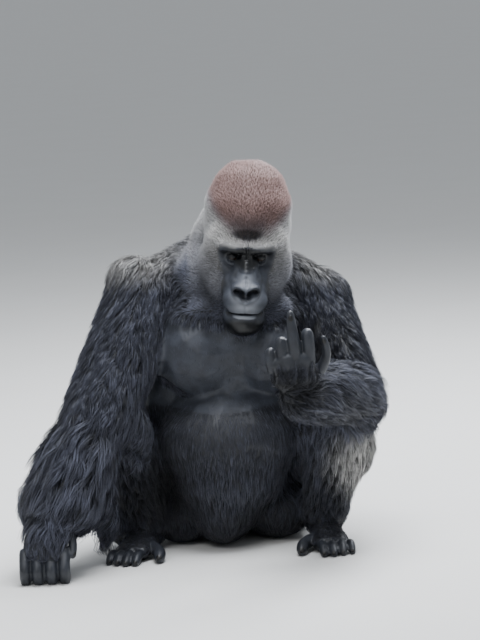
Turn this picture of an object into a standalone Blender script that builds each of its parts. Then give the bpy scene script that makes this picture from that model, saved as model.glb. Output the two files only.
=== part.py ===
"""A silverback western lowland gorilla, life size, squatting with one arm propped on its knuckles.

The body is modelled whole from overlapping lumps and limbs, blended into one skin of
constant detail, thinned, and then parted into named pieces with cuts half a millimetre wide.
Metres, +Z up. The animal looks along -Y, so its right side is at -X. The floor is at z = 0.
"""
import math

import bmesh
import bpy
from mathutils import Euler, Matrix, Vector

# ---------------------------------------------------------------- driving dimensions
GAP = 0.0005            # width of the cuts that part the body
FLOOR_FLAT = 0.004      # how far each support is planed off to give it a flat
BODY_VOXEL = 0.0048     # detail of the blended body
PAW_VOXEL = 0.0032      # hands and feet
STEP_SHARE = 0.30       # spacing of a limb's lumps, as a share of its half width
ATTEMPTS = 9            # how often a cut is tried, each time moved on by a nudge
NUDGE = Vector((0.000013, 0.000017, 0.000011))

# How many triangles each blended form keeps, before it is parted.
BODY_FACES = 2020
LEG_FACES = 405
HAND_FACES = 110
FINGER_SIDES = 8
TOE_SIDES = 6

# ---------------------------------------------------------------- the skeleton's joints
PELVIS = Vector((-0.05, 0.17, 0.16))
BELLY = Vector((-0.052, -0.02, 0.25))
CHEST = Vector((-0.02, 0.03, 0.51))
NECK = Vector((-0.02, 0.07, 0.71))
HEAD = Vector((0.025, -0.045, 0.787))          # between the ear canals
HEAD_BOW = math.radians(17)                     # the head is bowed forwards
HEAD_LEAN = math.radians(5.5)                   # and leans to its own left
HEAD_TURN = math.radians(1.5)

SHOULDER = {"R": Vector((-0.245, 0.04, 0.645)), "L": Vector((0.208, 0.07, 0.605))}
ELBOW = {"R": Vector((-0.392, -0.24, 0.350)), "L": Vector((0.296, -0.19, 0.400))}
WRIST = {"R": Vector((-0.505, -0.375, 0.150)), "L": Vector((0.128, -0.440, 0.440))}
KNUCKLES = {"R": Vector((-0.520, -0.425, 0.078)), "L": Vector((0.126, -0.470, 0.534))}
HIP = {"R": Vector((-0.165, 0.17, 0.160)), "L": Vector((0.070, 0.16, 0.160))}
KNEE = {"R": Vector((-0.318, -0.085, 0.285)), "L": Vector((0.240, -0.110, 0.290))}
ANKLE = {"R": Vector((-0.272, -0.085, 0.075)), "L": Vector((0.192, -0.100, 0.075))}
TOES = {"R": Vector((-0.305, -0.215, 0.028)), "L": Vector((0.202, -0.225, 0.028))}

SIDES = {"R": -1.0, "L": 1.0}                   # the animal's own sides, as signs of X
ARMPIT = {"R": (-1.0, -0.15, 0.30), "L": (1.0, -0.15, 0.15)}   # facing of the shoulder cuts

COLOURS = {
    "coat_black": ((0.030, 0.031, 0.038), 0.75),
    "coat_silver": ((0.300, 0.295, 0.280), 0.80),
    "coat_brown": ((0.200, 0.140, 0.125), 0.80),
    "bare_skin": ((0.045, 0.048, 0.058), 0.50),
    "eye_brown": ((0.060, 0.028, 0.014), 0.15),
}


# ---------------------------------------------------------------- tools
def clear_scene():
    for thing in list(bpy.data.objects):
        bpy.data.objects.remove(thing)


def make_materials():
    made = {}
    for name, (colour, roughness) in COLOURS.items():
        material = bpy.data.materials.new(name)
        material.use_nodes = True
        shader = material.node_tree.nodes["Principled BSDF"]
        shader.inputs["Base Color"].default_value = (*colour, 1.0)
        shader.inputs["Roughness"].default_value = roughness
        shader.inputs["Metallic"].default_value = 0.0
        made[name] = material
    return made


def lump(form, centre, radii, turn=(0.0, 0.0, 0.0), fine=3):
    """Adds an ellipsoid to a form. turn is in degrees about X, Y and Z."""
    angles = Euler([math.radians(a) for a in turn])
    matrix = Matrix.LocRotScale(Vector(centre), angles, Vector(radii))
    bmesh.ops.create_icosphere(form, subdivisions=fine, radius=1.0, matrix=matrix)


def limb(form, stations, side=(1.0, 0.0, 0.0)):
    """Adds a limb that runs through stations of (point, half width along side, half depth)."""
    side = Vector(side)
    for (a, wide_a, deep_a), (b, wide_b, deep_b) in zip(stations, stations[1:]):
        a, b = Vector(a), Vector(b)
        along = (b - a).normalized()
        across = (side - along * side.dot(along)).normalized()
        through = along.cross(across)
        turn = Matrix((across, through, along)).transposed()
        step = STEP_SHARE * min(wide_a, deep_a, wide_b, deep_b)
        count = max(2, math.ceil((b - a).length / step))
        for i in range(count + 1):
            t = i / count
            wide = wide_a + (wide_b - wide_a) * t
            deep = deep_a + (deep_b - deep_a) * t
            size = Vector((wide, deep, 0.5 * (wide + deep)))
            matrix = Matrix.LocRotScale(a.lerp(b, t), turn.to_quaternion(), size)
            bmesh.ops.create_icosphere(form, subdivisions=2, radius=1.0, matrix=matrix)


def settle(thing):
    """Applies an object's modifiers and its place."""
    bpy.context.view_layer.update()
    graph = bpy.context.evaluated_depsgraph_get()
    mesh = bpy.data.meshes.new_from_object(thing.evaluated_get(graph))
    thing.modifiers.clear()
    mesh.transform(thing.matrix_world)
    thing.matrix_world = Matrix.Identity(4)
    thing.data = mesh
    return thing


def thing_from(form, name, collection):
    mesh = bpy.data.meshes.new(name)
    form.to_mesh(mesh)
    form.free()
    thing = bpy.data.objects.new(name, mesh)
    collection.objects.link(thing)
    return thing


def blended(form, name, collection, voxel, rounds, faces, zones=()):
    """Melts a form's lumps into one closed surface and thins it to about that many triangles.

    Zones are (centre, radius, share) balls that keep more of the triangles than the rest.
    """
    thing = thing_from(form, name, collection)
    melt = thing.modifiers.new("melt", "REMESH")
    melt.mode = "VOXEL"
    melt.voxel_size = voxel
    smooth = thing.modifiers.new("smooth", "SMOOTH")
    smooth.factor = 0.5
    smooth.iterations = rounds
    settle(thing)
    thin = thing.modifiers.new("thin", "DECIMATE")
    thin.ratio = faces / (2.0 * len(thing.data.polygons))
    thin.use_collapse_triangulate = True
    if zones:
        group = thing.vertex_groups.new(name="coarse")
        for vertex in thing.data.vertices:
            weight = 1.0
            for centre, radius, share in zones:
                near = (vertex.co - centre).length / radius
                if near < 1.0:
                    weight = min(weight, share)
            group.add([vertex.index], weight, "REPLACE")
        thin.vertex_group = "coarse"
        thin.vertex_group_factor = 1.0
    settle(thing)
    thing.vertex_groups.clear()
    print(name, len(thing.data.polygons), "triangles")
    largest_only(thing)
    return thing


def islands(form):
    """The separate shells of a form, as lists of vertices."""
    form.verts.ensure_lookup_table()
    seen, found = set(), []
    for start in form.verts:
        if start in seen:
            continue
        seen.add(start)
        shell, todo = [], [start]
        while todo:
            vertex = todo.pop()
            shell.append(vertex)
            for edge in vertex.link_edges:
                other = edge.other_vert(vertex)
                if other not in seen:
                    seen.add(other)
                    todo.append(other)
        found.append(shell)
    return found


def largest_only(thing):
    """Drops the crumbs that a melt or a cut leaves beside the main shell."""
    form = bmesh.new()
    form.from_mesh(thing.data)
    shells = sorted(islands(form), key=len)
    crumbs = [vertex for shell in shells[:-1] for vertex in shell]
    bmesh.ops.delete(form, geom=crumbs, context="VERTS")
    form.to_mesh(thing.data)
    form.free()


def disc(name, centre, normal, reach, collection):
    """A thin elliptical plate square to normal, used as a saw cut. Reach is its two half widths."""
    form = bmesh.new()
    bmesh.ops.create_cone(form, cap_ends=True, segments=32, radius1=1.0, radius2=1.0, depth=1.0)
    through = Vector(normal).normalized()
    across = Vector((1.0, 0.0, 0.0))
    if abs(through.x) > 0.7:
        across = Vector((0.0, 1.0, 0.0))
    across = (across - through * across.dot(through)).normalized()
    turn = Matrix((across, through.cross(across), through)).transposed().to_quaternion()
    size = Vector((reach[0], reach[1], GAP))
    bmesh.ops.transform(form, matrix=Matrix.LocRotScale(Vector(centre), turn, size), verts=form.verts)
    cutter = thing_from(form, name, collection)
    cutter.hide_render = True
    cutter.display_type = "WIRE"
    return cutter


def is_closed(mesh):
    """True where every edge lies between exactly two faces."""
    form = bmesh.new()
    form.from_mesh(mesh)
    closed = all(len(edge.link_faces) == 2 for edge in form.edges)
    form.free()
    return closed


def subtract(thing, cutter):
    """Cuts with the cutter, nudging it by hundredths of a millimetre until the result is closed."""
    whole = thing.data.copy()
    for attempt in range(ATTEMPTS):
        if attempt:
            cutter.data.transform(Matrix.Translation(NUDGE))
        cut = thing.modifiers.new("cut", "BOOLEAN")
        cut.operation = "DIFFERENCE"
        cut.solver = "EXACT"
        cut.object = cutter
        settle(thing)
        if is_closed(thing.data):
            return
        thing.data = whole.copy()
    raise ValueError(cutter.name + " leaves " + thing.name + " open")


def swollen(thing, collection):
    """A copy of a solid grown by the width of a cut, to cut its neighbour with."""
    copy = bpy.data.objects.new(thing.name + "_swollen", thing.data.copy())
    collection.objects.link(copy)
    grow = copy.modifiers.new("grow", "DISPLACE")
    grow.strength = GAP
    grow.mid_level = 0.0
    settle(copy)
    copy.hide_render = True
    copy.display_type = "WIRE"
    return copy


def shells_of(thing, collection):
    """Splits an object into one object for each shell, with that shell's centre and volume."""
    form = bmesh.new()
    form.from_mesh(thing.data)
    found = []
    for shell in islands(form):
        kept = {vertex.index for vertex in shell}
        piece = bmesh.new()
        piece.from_mesh(thing.data)
        others = [vertex for vertex in piece.verts if vertex.index not in kept]
        bmesh.ops.delete(piece, geom=others, context="VERTS")
        volume = piece.calc_volume(signed=True)
        centre = sum((vertex.co for vertex in piece.verts), Vector()) / len(piece.verts)
        part = thing_from(piece, thing.name + "_piece", collection)
        found.append((part, centre, volume))
    form.free()
    bpy.data.objects.remove(thing)
    return found


def plane_floor(thing):
    """Planes the underside off at the floor, so that a support stands on a flat."""
    form = bmesh.new()
    form.from_mesh(thing.data)
    everything = form.verts[:] + form.edges[:] + form.faces[:]
    cut = bmesh.ops.bisect_plane(
        form, geom=everything, dist=1e-6, plane_co=(0, 0, 0), plane_no=(0, 0, -1), clear_outer=True
    )
    rim = [edge for edge in cut["geom_cut"] if isinstance(edge, bmesh.types.BMEdge)]
    if rim:
        bmesh.ops.holes_fill(form, edges=rim, sides=0)
        bmesh.ops.triangulate(form, faces=form.faces[:])
    form.to_mesh(thing.data)
    form.free()


# ---------------------------------------------------------------- the trunk and arms
def trunk_form():
    form = bmesh.new()
    # Pelvis, rump and flanks. The rump touches the floor behind the heels.
    lump(form, (-0.050, 0.170, 0.165), (0.205, 0.150, 0.160))
    lump(form, (-0.135, 0.175, 0.118), (0.125, 0.135, 0.122))
    lump(form, (0.035, 0.170, 0.118), (0.125, 0.135, 0.122))
    # The long hair under the thighs fills the space down to the floor.
    lump(form, (-0.052, 0.110, 0.085), (0.255, 0.125, 0.090))
    for sign in SIDES.values():
        lump(form, (-0.052 + sign * 0.125, 0.012, 0.074), (0.105, 0.135, 0.082))
    # The pot belly hangs between the thighs, almost to the floor.
    lump(form, (-0.052, -0.015, 0.265), (0.200, 0.212, 0.150))
    lump(form, (-0.054, -0.030, 0.190), (0.165, 0.190, 0.140))
    lump(form, (-0.064, -0.060, 0.120), (0.108, 0.142, 0.112))
    lump(form, (-0.070, -0.085, 0.082), (0.080, 0.108, 0.080))
    lump(form, (-0.045, 0.020, 0.330), (0.190, 0.190, 0.110))
    # The hair of the flank, which fills the space inside the propped elbow.
    lump(form, (-0.200, 0.030, 0.370), (0.085, 0.095, 0.115))
    # Rib cage, chest and the broad back.
    limb(
        form,
        [
            ((-0.048, 0.135, 0.250), 0.205, 0.180),
            ((-0.038, 0.110, 0.400), 0.222, 0.215),
            ((-0.024, 0.070, 0.530), 0.228, 0.215),
            ((-0.016, 0.070, 0.630), 0.215, 0.180),
        ],
    )
    for side, sign in SIDES.items():
        lump(form, (-0.018 + sign * 0.095, -0.070, 0.500), (0.115, 0.085, 0.108))
        lump(form, (-0.018 + sign * 0.088, -0.050, 0.585), (0.105, 0.080, 0.080))
        # Shoulder blade and trapezius, up to the neck.
        inner = Vector((-0.03 + sign * 0.05, 0.115, 0.720))
        limb(form, [(inner, 0.090, 0.090), (SHOULDER[side], 0.105, 0.105)], side=(0, 0, 1))
        lump(form, (-0.025 + sign * 0.125, 0.170, 0.570), (0.115, 0.100, 0.150))
    # Neck: very thick, running from the hump of the back up to the crest of the skull.
    limb(form, [((-0.030, 0.115, 0.680), 0.155, 0.130), ((0.018, 0.010, 0.875), 0.090, 0.086)])
    limb(form, [((-0.010, 0.000, 0.640), 0.110, 0.100), ((0.020, -0.055, 0.730), 0.085, 0.075)])
    return form


def arm_form(form, side):
    shoulder, elbow, wrist = SHOULDER[side], ELBOW[side], WRIST[side]
    upper = elbow - shoulder
    fore = wrist - elbow
    if side == "R":
        # The propped arm: a thick upper arm, and a forearm hung with long hair.
        limb(
            form,
            [
                (shoulder + Vector((-0.002, 0.0, 0.008)), 0.112, 0.110),
                (shoulder + upper * 0.25, 0.114, 0.112),
                (shoulder + upper * 0.60, 0.110, 0.106),
                (elbow, 0.104, 0.098),
            ],
        )
        limb(
            form,
            [
                (elbow, 0.102, 0.098),
                (elbow + fore * 0.35 + Vector((-0.008, 0.0, -0.008)), 0.118, 0.100),
                (elbow + fore * 0.70 + Vector((-0.004, 0.0, -0.022)), 0.118, 0.090),
                (wrist + Vector((0.004, 0.010, 0.014)), 0.068, 0.056),
            ],
            side=(1.0, -0.35, 0.0),
        )
        # The shoulder stands up squarely, with a mop of hair on its outer corner.
        lump(form, shoulder + Vector((-0.027, 0.005, 0.044)), (0.086, 0.095, 0.085))
        # The fringe of hair that fans out behind the forearm, and the hair inside the elbow.
        lump(form, elbow + fore * 0.62 + Vector((-0.062, 0.03, -0.056)), (0.078, 0.062, 0.090), (0, 25, 0))
        lump(form, elbow + fore * 0.45 + Vector((0.055, 0.035, -0.070)), (0.060, 0.055, 0.085))
        lump(form, elbow + Vector((0.100, 0.045, -0.005)), (0.062, 0.055, 0.105), (0, -12, 0))
        # Long hair hangs from the inside of the forearm, almost to the floor.
        lump(form, elbow + Vector((0.024, 0.022, -0.215)), (0.052, 0.055, 0.095))
        lump(form, wrist + Vector((0.072, 0.085, 0.000)), (0.052, 0.055, 0.080))
    else:
        # The arm that rests on the knee, with its forearm brought across the chest.
        limb(
            form,
            [
                (shoulder, 0.093, 0.100),
                (shoulder + upper * 0.30, 0.090, 0.096),
                (shoulder + upper * 0.65, 0.080, 0.090),
                (elbow, 0.074, 0.084),
            ],
        )
        limb(
            form,
            [
                (elbow, 0.074, 0.084),
                (elbow + fore * 0.35 + Vector((0.0, 0.0, 0.012)), 0.076, 0.094),
                (elbow + fore * 0.72 + Vector((0.0, 0.0, 0.008)), 0.070, 0.082),
                (wrist, 0.064, 0.062),
            ],
            side=(0.6, -0.4, 0.0),
        )
        lump(form, elbow + Vector((0.008, 0.0, -0.050)), (0.062, 0.066, 0.066))


# ---------------------------------------------------------------- the head
def head_matrix():
    turn = Euler((HEAD_BOW, HEAD_LEAN, HEAD_TURN), "XYZ").to_matrix().to_4x4()
    return Matrix.Translation(HEAD) @ turn


def face(x, forward, up):
    """A point of the upright head, in its own frame: X, forward of the ear canals, and up."""
    return Vector((x, -forward, up))


EYE_SPREAD = 0.0352
EYE = face(EYE_SPREAD, 0.1030, 0.0035)
EYE_RADIUS = 0.0125


def head_form(form):
    """Adds the head to a form, already bowed and in its place."""
    head = bmesh.new()
    # Dome: braincase, temple muscles and the fatty cap over the crest.
    lump(head, face(0.002, -0.005, 0.050), (0.118, 0.120, 0.105))
    lump(head, face(0.002, -0.014, 0.098), (0.118, 0.110, 0.094))
    lump(head, face(0.002, -0.034, 0.139), (0.101, 0.092, 0.077))
    lump(head, face(0, 0.050, 0.088), (0.074, 0.056, 0.060))
    # Middle of the face, behind the eyes.
    lump(head, face(0, 0.062, -0.003), (0.082, 0.044, 0.062))
    for sign in (-1, 1):
        # Brow ridge, one bar above both eyes, that sinks into the full temples.
        limb(
            head,
            [
                (face(0, 0.126, 0.035), 0.0160, 0.0145),
                (face(sign * 0.040, 0.124, 0.037), 0.0150, 0.0150),
                (face(sign * 0.068, 0.096, 0.030), 0.0170, 0.0170),
            ],
            side=(0, 1, 0),
        )
        lump(head, face(sign * 0.070, 0.048, 0.018), (0.046, 0.058, 0.066))
        # Cheek bones, chewing muscles and the jaw's flare.
        limb(
            head,
            [
                (face(sign * 0.078, 0.072, -0.006), 0.024, 0.024),
                (face(sign * 0.062, 0.092, -0.032), 0.023, 0.023),
                (face(sign * 0.034, 0.112, -0.042), 0.022, 0.022),
            ],
            side=(0, 1, 0),
        )
        lump(head, face(sign * 0.066, 0.030, -0.042), (0.060, 0.074, 0.084))
        lump(head, face(sign * 0.052, 0.066, -0.075), (0.053, 0.070, 0.066))
        lump(head, face(sign * 0.034, 0.112, -0.070), (0.034, 0.046, 0.044))
        # The bridge of the nose widens into the muzzle, and ends in the nostril wings.
        limb(
            head,
            [
                (face(sign * 0.013, 0.121, -0.004), 0.0150, 0.0150),
                (face(sign * 0.029, 0.147, -0.050), 0.0190, 0.0190),
            ],
            side=(0, 1, 0),
        )
        lump(head, face(sign * 0.0185, 0.188, -0.052), (0.0175, 0.0175, 0.0165))
    # Ridge of the nose, muzzle, lips and chin.
    limb(head, [(face(0, 0.116, 0.020), 0.0120, 0.0140), (face(0, 0.178, -0.044), 0.0200, 0.0180)])
    lump(head, face(0, 0.192, -0.048), (0.0140, 0.0150, 0.0160))
    lump(head, face(0, 0.135, -0.080), (0.060, 0.066, 0.055))
    lump(head, face(0, 0.168, -0.087), (0.060, 0.048, 0.037))
    lump(head, face(0, 0.150, -0.148), (0.051, 0.056, 0.046))
    lump(head, face(0, 0.168, -0.148), (0.046, 0.041, 0.042))
    lump(head, face(0, 0.085, -0.135), (0.066, 0.074, 0.050))
    bmesh.ops.transform(head, matrix=head_matrix(), verts=head.verts)
    mesh = bpy.data.meshes.new("head_lumps")
    head.to_mesh(mesh)
    head.free()
    form.from_mesh(mesh)


def ear(side, collection):
    """A small round ear, set well back on the head, its rim leaning out behind."""
    sign = SIDES[side]
    form = bmesh.new()
    lump(form, face(sign * 0.108, -0.010, -0.003), (0.0085, 0.0150, 0.0225), (0, 0, sign * 24), fine=2)
    bmesh.ops.transform(form, matrix=head_matrix(), verts=form.verts)
    return thing_from(form, "ear_" + side, collection)


def eye(side, collection):
    form = bmesh.new()
    centre = head_matrix() @ Vector((SIDES[side] * EYE.x, EYE.y, EYE.z))
    bmesh.ops.create_icosphere(form, subdivisions=2, radius=EYE_RADIUS, matrix=Matrix.Translation(centre))
    return thing_from(form, "eye_" + side, collection)


# ---------------------------------------------------------------- the legs
def leg_form(side):
    form = bmesh.new()
    hip, knee, ankle = HIP[side], KNEE[side], ANKLE[side]
    sign = SIDES[side]
    thigh = knee - hip
    shank = ankle - knee
    limb(
        form,
        [
            (hip, 0.112, 0.112),
            (hip + thigh * 0.5, 0.106, 0.108),
            (knee, 0.086, 0.086),
        ],
    )
    limb(
        form,
        [
            (knee, 0.086, 0.086),
            (knee + shank * 0.40 + Vector((0.0, 0.014, 0.0)), 0.088, 0.088),
            (knee + shank * 0.75 + Vector((0.0, 0.006, 0.0)), 0.072, 0.076),
            (ankle, 0.055, 0.060),
            (ankle + Vector((0.0, 0.0, -0.030)), 0.048, 0.052),
        ],
    )
    # Silver hair on the outer side of the knee.
    lump(form, knee + Vector((sign * 0.028, 0.014, -0.040)), (0.074, 0.078, 0.095))
    # The hair of the calf hangs over the heel.
    calf = ankle + Vector((0.0, 0.032, 0.010))
    lump(form, calf, (0.068, 0.066, 0.085))
    if side == "R":
        lump(form, calf + Vector((-0.055, -0.012, -0.010)), (0.058, 0.068, 0.075))
    return form


def foot_frame(side):
    """The foot's own axes: where its sole centre is, its heading, and its inner side."""
    heading = TOES[side] - ANKLE[side]
    heading.z = 0.0
    heading.normalize()
    inner = Vector((-heading.y, heading.x, 0.0)) * (1.0 if side == "R" else -1.0)
    if inner.x * SIDES[side] > 0:
        inner = -inner
    return heading, inner


def foot_form(form, side):
    ankle, toes = ANKLE[side], TOES[side]
    heading, inner = foot_frame(side)
    heel = ankle - heading * 0.045
    heel.z = 0.030
    ball = toes.copy()
    ball.z = 0.024
    limb(
        form,
        [
            (heel, 0.038, 0.031),
            (heel.lerp(ball, 0.5) + Vector((0, 0, 0.008)), 0.046, 0.034),
            (ball, 0.056, 0.025),
        ],
        side=inner,
    )


def digit(name, path, collection, side=(1.0, 0.0, 0.0)):
    """A finger or toe: a many-sided tube through (point, radius) pairs, with blunt ends.

    The joints bend about the side axis.
    """
    points = [Vector(point) for point, radius in path]
    radii = [radius for point, radius in path]
    first, last = points[1] - points[0], points[-1] - points[-2]
    points.insert(0, points[0] - first.normalized() * radii[0] * 0.5)
    points.append(points[-1] + last.normalized() * radii[-1] * 0.8)
    radii = [radii[0] * 0.7] + radii + [radii[-1] * 0.55]
    sides = TOE_SIDES if "toe" in name else FINGER_SIDES
    side = Vector(side)
    form = bmesh.new()
    rings = []
    for i, (point, radius) in enumerate(zip(points, radii)):
        before = points[i] - points[max(i - 1, 0)]
        after = points[min(i + 1, len(points) - 1)] - points[i]
        before = (before if before.length > 0 else after).normalized()
        after = (after if after.length > 0 else before).normalized()
        along = (before + after).normalized()
        across = (side - along * side.dot(along)).normalized()
        through = along.cross(across)
        stretch = min(1.4, 1.0 / max(0.2, along.dot(after)))
        ring = []
        for k in range(sides):
            angle = 2.0 * math.pi * (k + 0.5) / sides
            offset = across * math.cos(angle) + through * math.sin(angle) * stretch
            ring.append(form.verts.new(point + offset * radius))
        rings.append(ring)
    for ring, other in zip(rings, rings[1:]):
        for k in range(sides):
            after = (k + 1) % sides
            form.faces.new((ring[k], ring[after], other[after], other[k]))
    form.faces.new(list(reversed(rings[0])))
    form.faces.new(rings[-1])
    bmesh.ops.recalc_face_normals(form, faces=form.faces[:])
    bmesh.ops.triangulate(form, faces=form.faces[:])
    return thing_from(form, name, collection)


def toes_of(side, collection):
    heading, inner = foot_frame(side)
    ball = TOES[side].copy()
    made = []
    for i, name in enumerate(("toe_2", "toe_3", "toe_4", "toe_5")):
        across = inner * (0.024 - 0.0245 * i)
        reach = (0.058, 0.062, 0.056, 0.046)[i]
        thick = (0.0125, 0.0125, 0.0120, 0.0110)[i]
        root = ball + across + heading * 0.012
        root.z = 0.022
        middle = root + heading * (reach * 0.55)
        middle.z = 0.0215
        tip = root + heading * reach
        tip.z = thick * 0.92 - 0.003
        path = [(root, thick), (middle, thick), (tip, thick * 0.92)]
        made.append(digit(f"{name}_{side}", path, collection, inner))
    # The big toe stands off the inner edge of the foot, like a thumb.
    root = ball - heading * 0.045 + inner * 0.038
    root.z = 0.026
    middle = root + heading * 0.045 + inner * 0.034
    middle.z = 0.021
    tip = middle + heading * 0.034 + inner * 0.006
    tip.z = 0.0125
    path = [(root, 0.019), (middle, 0.0175), (tip, 0.0155)]
    made.append(digit("big_toe_" + side, path, collection, heading))
    return made


# ---------------------------------------------------------------- the hands
def raised_hand_form():
    """The left hand is held up, with its back to the front."""
    form = bmesh.new()
    wrist, row = WRIST["L"], KNUCKLES["L"]
    limb(
        form,
        [
            (wrist + Vector((0.020, 0.020, -0.006)), 0.042, 0.040),
            (wrist + Vector((0.0, 0.0, 0.010)), 0.052, 0.044),
            (wrist.lerp(row, 0.5), 0.064, 0.036),
            (row + Vector((-0.003, 0.004, -0.014)), 0.064, 0.022),
        ],
    )
    return form


def propped_hand_form():
    """The right hand carries weight on the backs of its bent fingers."""
    form = bmesh.new()
    wrist, row = WRIST["R"], KNUCKLES["R"]
    limb(
        form,
        [
            (wrist - (row - wrist) * 0.20, 0.040, 0.034),
            (wrist + Vector((0.0, 0.0, -0.012)), 0.058, 0.048),
            (wrist.lerp(row, 0.5), 0.058, 0.036),
            (row + Vector((0, 0, 0.012)), 0.060, 0.028),
        ],
    )
    return form


def raised_digits(collection):
    """Fingers of the raised hand: the middle one straight, the rest folded to the palm."""
    row = KNUCKLES["L"]

    def at(x, y, z):
        return row + Vector((x, y, z))

    paths = {
        "index_L": [
            (at(0.041, 0.006, -0.004), 0.0160),
            (at(0.038, -0.004, 0.075), 0.0160),
            (at(0.036, 0.034, 0.061), 0.0135),
            (at(0.036, 0.040, 0.033), 0.0110),
        ],
        "middle_L": [
            (at(0.007, 0.000, -0.002), 0.0165),
            (at(0.004, -0.006, 0.046), 0.0168),
            (at(0.000, -0.006, 0.092), 0.0125),
            (at(-0.002, -0.004, 0.121), 0.0092),
        ],
        "ring_L": [
            (at(-0.024, 0.002, -0.010), 0.0150),
            (at(-0.028, -0.004, 0.058), 0.0150),
            (at(-0.026, 0.036, 0.044), 0.0130),
            (at(-0.024, 0.042, 0.018), 0.0110),
        ],
        "little_L": [
            (at(-0.054, 0.008, -0.020), 0.0135),
            (at(-0.057, 0.004, 0.031), 0.0130),
            (at(-0.053, 0.038, 0.020), 0.0115),
            (at(-0.050, 0.042, -0.002), 0.0095),
        ],
        "thumb_L": [
            (at(0.066, 0.036, -0.030), 0.0160),
            (at(0.086, 0.034, 0.006), 0.0120),
            (at(0.082, 0.026, 0.036), 0.0098),
            (at(0.077, 0.022, 0.052), 0.0078),
        ],
    }
    return [digit(name, path, collection) for name, path in paths.items()]


def propped_digits(collection):
    """Fingers of the weight-bearing hand: bent, with the middle joints' backs on the floor."""
    row = KNUCKLES["R"]
    made = []
    names = ("index_R", "middle_R", "ring_R", "little_R")
    for i, name in enumerate(names):
        x = 0.0495 - 0.033 * i
        thick = (0.0142, 0.0146, 0.0142, 0.0130)[i]
        ahead = (-0.034, -0.038, -0.036, -0.030)[i]
        path = [
            (row + Vector((x, 0.004, 0.002)), thick),
            (Vector((row.x + x, row.y + ahead, 0.036)), thick * 0.97),
            (Vector((row.x + x, row.y + ahead * 0.45, thick - FLOOR_FLAT)), thick),
            (Vector((row.x + x, row.y + 0.022, 0.020)), thick * 0.85),
        ]
        made.append(digit(name, path, collection))
    wrist = WRIST["R"]
    path = [
        (wrist.lerp(row, 0.35) + Vector((0.050, 0.006, 0.0)), 0.0150),
        (wrist.lerp(row, 0.75) + Vector((0.070, 0.004, 0.0)), 0.0115),
        (wrist.lerp(row, 1.15) + Vector((0.074, 0.002, 0.0)), 0.0090),
    ]
    made.append(digit("thumb_R", path, collection))
    return made


# ---------------------------------------------------------------- parting
def saw(pieces, whole, new, seed, cut, cutters, workshop):
    """Saws one named piece in two: the shell nearest seed takes the new name."""
    centre, normal, reach = cut
    thing = pieces.pop(whole)
    subtract(thing, disc("cut_" + new, centre, normal, reach, cutters))
    shells = shells_of(thing, workshop)
    if len(shells) < 2:
        raise ValueError("the cut for " + new + " does not part " + whole)
    shells.sort(key=lambda shell: -shell[2])
    chosen, rest = sorted(shells[:2], key=lambda shell: (shell[1] - seed).length)
    for crumb in shells[2:]:
        print("crumb of", whole, "litres", round(crumb[2] * 1000, 4))
        bpy.data.objects.remove(crumb[0])
    pieces[new], pieces[whole] = chosen[0], rest[0]
    print(new, round(chosen[2] * 1000, 2), "litres from", whole, round(rest[2] * 1000, 2))


def part_body(pieces, cutters, workshop):
    for side, sign in SIDES.items():
        shoulder, elbow, wrist = SHOULDER[side], ELBOW[side], WRIST[side]
        bend = (elbow - shoulder).normalized() + (wrist - elbow).normalized()
        cut = (elbow, bend, (0.195, 0.195) if side == "R" else (0.145, 0.145))
        saw(pieces, "body", "forearm_" + side, elbow.lerp(wrist, 0.5), cut, cutters, workshop)
        reach = (0.32, 0.31) if side == "R" else (0.32, 0.25)
        cut = (shoulder + Vector((-sign * 0.025, -0.02, -0.075)), ARMPIT[side], reach)
        saw(pieces, "body", "upper_arm_" + side, shoulder.lerp(elbow, 0.4), cut, cutters, workshop)
    wide = (0.60, 0.60)
    cut = ((-0.03, 0.05, 0.385), (0.0, -0.10, 1.0), wide)
    saw(pieces, "body", "belly", BELLY, cut, cutters, workshop)
    cut = ((-0.05, 0.110, 0.200), (0.0, 1.0, 0.20), wide)
    saw(pieces, "belly", "pelvis", PELVIS, cut, cutters, workshop)
    cut = ((-0.022, 0.060, 0.692), (0.08, -0.56, 1.0), wide)
    saw(pieces, "body", "neck", HEAD, cut, cutters, workshop)
    cut = ((0.015, 0.020, 0.750), (0.06, -0.72, 0.70), wide)
    saw(pieces, "neck", "head", HEAD + Vector((0.0, -0.08, 0.0)), cut, cutters, workshop)
    pieces["chest"] = pieces.pop("body")


def part_leg(pieces, side, cutters, workshop):
    hip, knee, ankle = HIP[side], KNEE[side], ANKLE[side]
    leg = "leg_" + side
    heading, inner = foot_frame(side)
    cut = (ankle + heading * 0.030 + Vector((0, 0, 0.006)), (0.0, -0.20, 1.0), (0.158, 0.148))
    saw(pieces, leg, "foot_" + side, TOES[side], cut, cutters, workshop)
    bend = (knee - hip).normalized() + (ankle - knee).normalized()
    cut = (knee, bend, (0.40, 0.40))
    saw(pieces, leg, "shank_" + side, knee.lerp(ankle, 0.5), cut, cutters, workshop)
    pieces["thigh_" + side] = pieces.pop(leg)


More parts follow.
